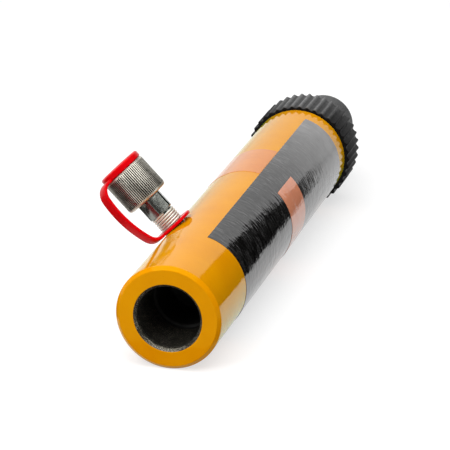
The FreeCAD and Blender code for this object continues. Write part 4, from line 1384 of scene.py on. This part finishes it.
@dataclass
class Studio:
    """Table, lights, background and camera."""

    focal_length: float = 228.58
    sensor_width: float = 36.0
    clip: tuple = (0.05, 50.0)
    camera_at: tuple = (0.48854, -1.61256, 0.67396)
    looking: tuple = (-0.25327, 0.90522, -0.34122)
    rightwards: tuple = (0.96302, 0.26944, 0.0)
    ambient: float = 0.23
    dim_level: float = 0.08
    dim_front: tuple = (-0.25, 0.25)
    table_size: float = 12.0
    table_drop: float = 0.1 * MM
    card_lift: float = 4.0 * MM
    cards: tuple = (
        Card("back_flag", 0.157, 1.15, 0.50, 0.50, 0.75),
        Card("low_flag", 0.138, 0.160, 0.50, 0.50, 0.05),
        Card("floor_flag", 0.125, 1.15, 0.25, 0.50),
        Card("front_flag", -0.80, 0.80, -1.40, -0.004),
        Card("left_flag", -0.70, -0.095, -0.004, 0.12),
    )

    def build(self) -> None:
        """Set up the studio."""
        self.build_table()
        self.build_cards()
        self.build_world()
        self.build_lights()
        self.build_camera()

    def build_table(self) -> None:
        """Lay a pale table under the rim of the base and the ribs of the ring."""
        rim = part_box("base_block")[0]
        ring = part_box("collar_protector")[0]
        slope = math.atan2(rim.z - ring.z, ring.y - rim.y)
        Bench.clear()
        bpy.ops.mesh.primitive_plane_add(size=self.table_size, location=(0, rim.y, rim.z - self.table_drop),
                                         rotation=(-slope, 0, 0))
        table = Bench.adopt("table")
        bpy.ops.object.mode_set(mode="EDIT")
        bpy.ops.mesh.select_all(action="SELECT")
        bpy.ops.mesh.subdivide(number_cuts=3)
        bpy.ops.object.mode_set(mode="OBJECT")
        Bench.dress(table, TablePaper().make())

    def build_cards(self) -> None:
        """Set out black cards where only mirror-like finishes see them."""
        black = Paint("black_card")
        shade = black.clouds(50 * MM, 2.0, 0.0, 1.0, 0.004, 0.006)
        cloth = black.finish(base_color=black.grey(shade), roughness=1.0, specular_level=0.0)
        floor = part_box("collar_protector")[0].z
        for card in self.cards:
            upright = card.top is not None
            low = floor if upright else floor + self.card_lift
            high = card.top if upright else low
            middle = ((card.left + card.right) / 2, (card.near + card.far) / 2, (low + high) / 2)
            turn = math.pi / 2 if upright else 0.0
            Bench.clear()
            bpy.ops.mesh.primitive_plane_add(size=1.0, location=middle, rotation=(turn, 0, 0))
            depth = high - low if upright else card.far - card.near
            flag = Bench.adopt(card.name, (card.right - card.left, depth, 1.0))
            Bench.dress(flag, cloth)
            flag.visible_camera = False
            flag.visible_diffuse = False
            flag.visible_shadow = False
            flag.visible_transmission = False

    def build_world(self) -> None:
        """White background for the eye, bright back and dim front for mirrors, plain light for the rest."""
        world = bpy.data.worlds.new("studio")
        bpy.context.scene.world = world
        sky = Graph(world, "ShaderNodeOutputWorld")
        direction = sky.node("ShaderNodeTexCoord", result="Generated")
        depth = sky.node("ShaderNodeSeparateXYZ", None, {"Vector": direction}, "Y")
        front, back = self.dim_front
        span = {"Value": depth, "From Min": front, "From Max": back}
        bright = sky.node("ShaderNodeMapRange", {"interpolation_type": "SMOOTHSTEP"}, span)
        mirrored = sky.ramp(bright, 0.0, 1.0, self.dim_level, 1.0)
        seen, glossy, through = sky.rays()
        white, mirror, plain = (sky.node("ShaderNodeBackground", None, {"Color": WHITE, "Strength": level})
                                for level in (1.0, mirrored, self.ambient))
        mixed = sky.node("ShaderNodeMixShader", None, {0: glossy, 1: plain, 2: mirror})
        direct = seen.maths("MAXIMUM", through)
        sky.close(sky.node("ShaderNodeMixShader", None, {0: direct, 1: mixed, 2: white}))

    @staticmethod
    def add_light(name: str, spot: tuple, aim: tuple, size: tuple[float, float], power: float) -> None:
        """Add one soft light.

        Args:
            name: Name of the light.
            spot: Where it stands.
            aim: The point that it faces.
            size: Its width and height.
            power: Its power in watts.
        """
        lamp = bpy.data.lights.new(name, "AREA")
        lamp.shape = "RECTANGLE"
        lamp.size, lamp.size_y = size
        lamp.energy = power
        holder = bpy.data.objects.new(name, lamp)
        bpy.context.scene.collection.objects.link(holder)
        holder.location = spot
        holder.rotation_mode = "QUATERNION"
        holder.rotation_quaternion = (Vector(aim) - Vector(spot)).to_track_quat("-Z", "Y")
        holder.visible_camera = False

    def build_lights(self) -> None:
        """Hang a large key light above, a narrow strip at the right and a small fill in front."""
        middle = (-0.04, 0.10, 0.04)
        self.add_light("key", (-0.06, -0.30, 1.50), (0, 0.1, 0), (2.2, 2.2), 37.5)
        self.add_light("strip", (0.72, -0.10, 0.68), middle, (0.035, 0.70), 0.30)
        self.add_light("front_fill", (-0.60, -1.10, 0.70), middle, (0.4, 0.4), 5.2)

    def build_camera(self) -> None:
        """Place the camera."""
        lens = bpy.data.cameras.new("camera")
        lens.lens = self.focal_length
        lens.sensor_width = self.sensor_width
        lens.clip_start, lens.clip_end = self.clip
        camera = bpy.data.objects.new("camera", lens)
        bpy.context.scene.collection.objects.link(camera)
        right = Vector(self.rightwards).normalized()
        back = -Vector(self.looking).normalized()
        turn = Matrix((right, back.cross(right), back)).transposed().to_4x4()
        camera.matrix_world = Matrix.Translation(self.camera_at) @ turn
        bpy.context.scene.camera = camera


def main() -> None:
    """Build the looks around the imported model."""
    logging.basicConfig(level=logging.INFO, format="%(message)s")
    looks = Finishes()
    dress_nodes(looks)
    axis = CouplerAxis()
    for group in (Barrel(looks), Protector(looks), RodEnd(looks), Sleeve(looks, axis),
                  Fitting(looks, axis), DustCap(looks, axis), Films(looks), Springs(looks, axis)):
        group.build()
    Studio().build()
    bpy.context.scene.view_settings.view_transform = "Standard"


if __name__ == "__main__":
    main()
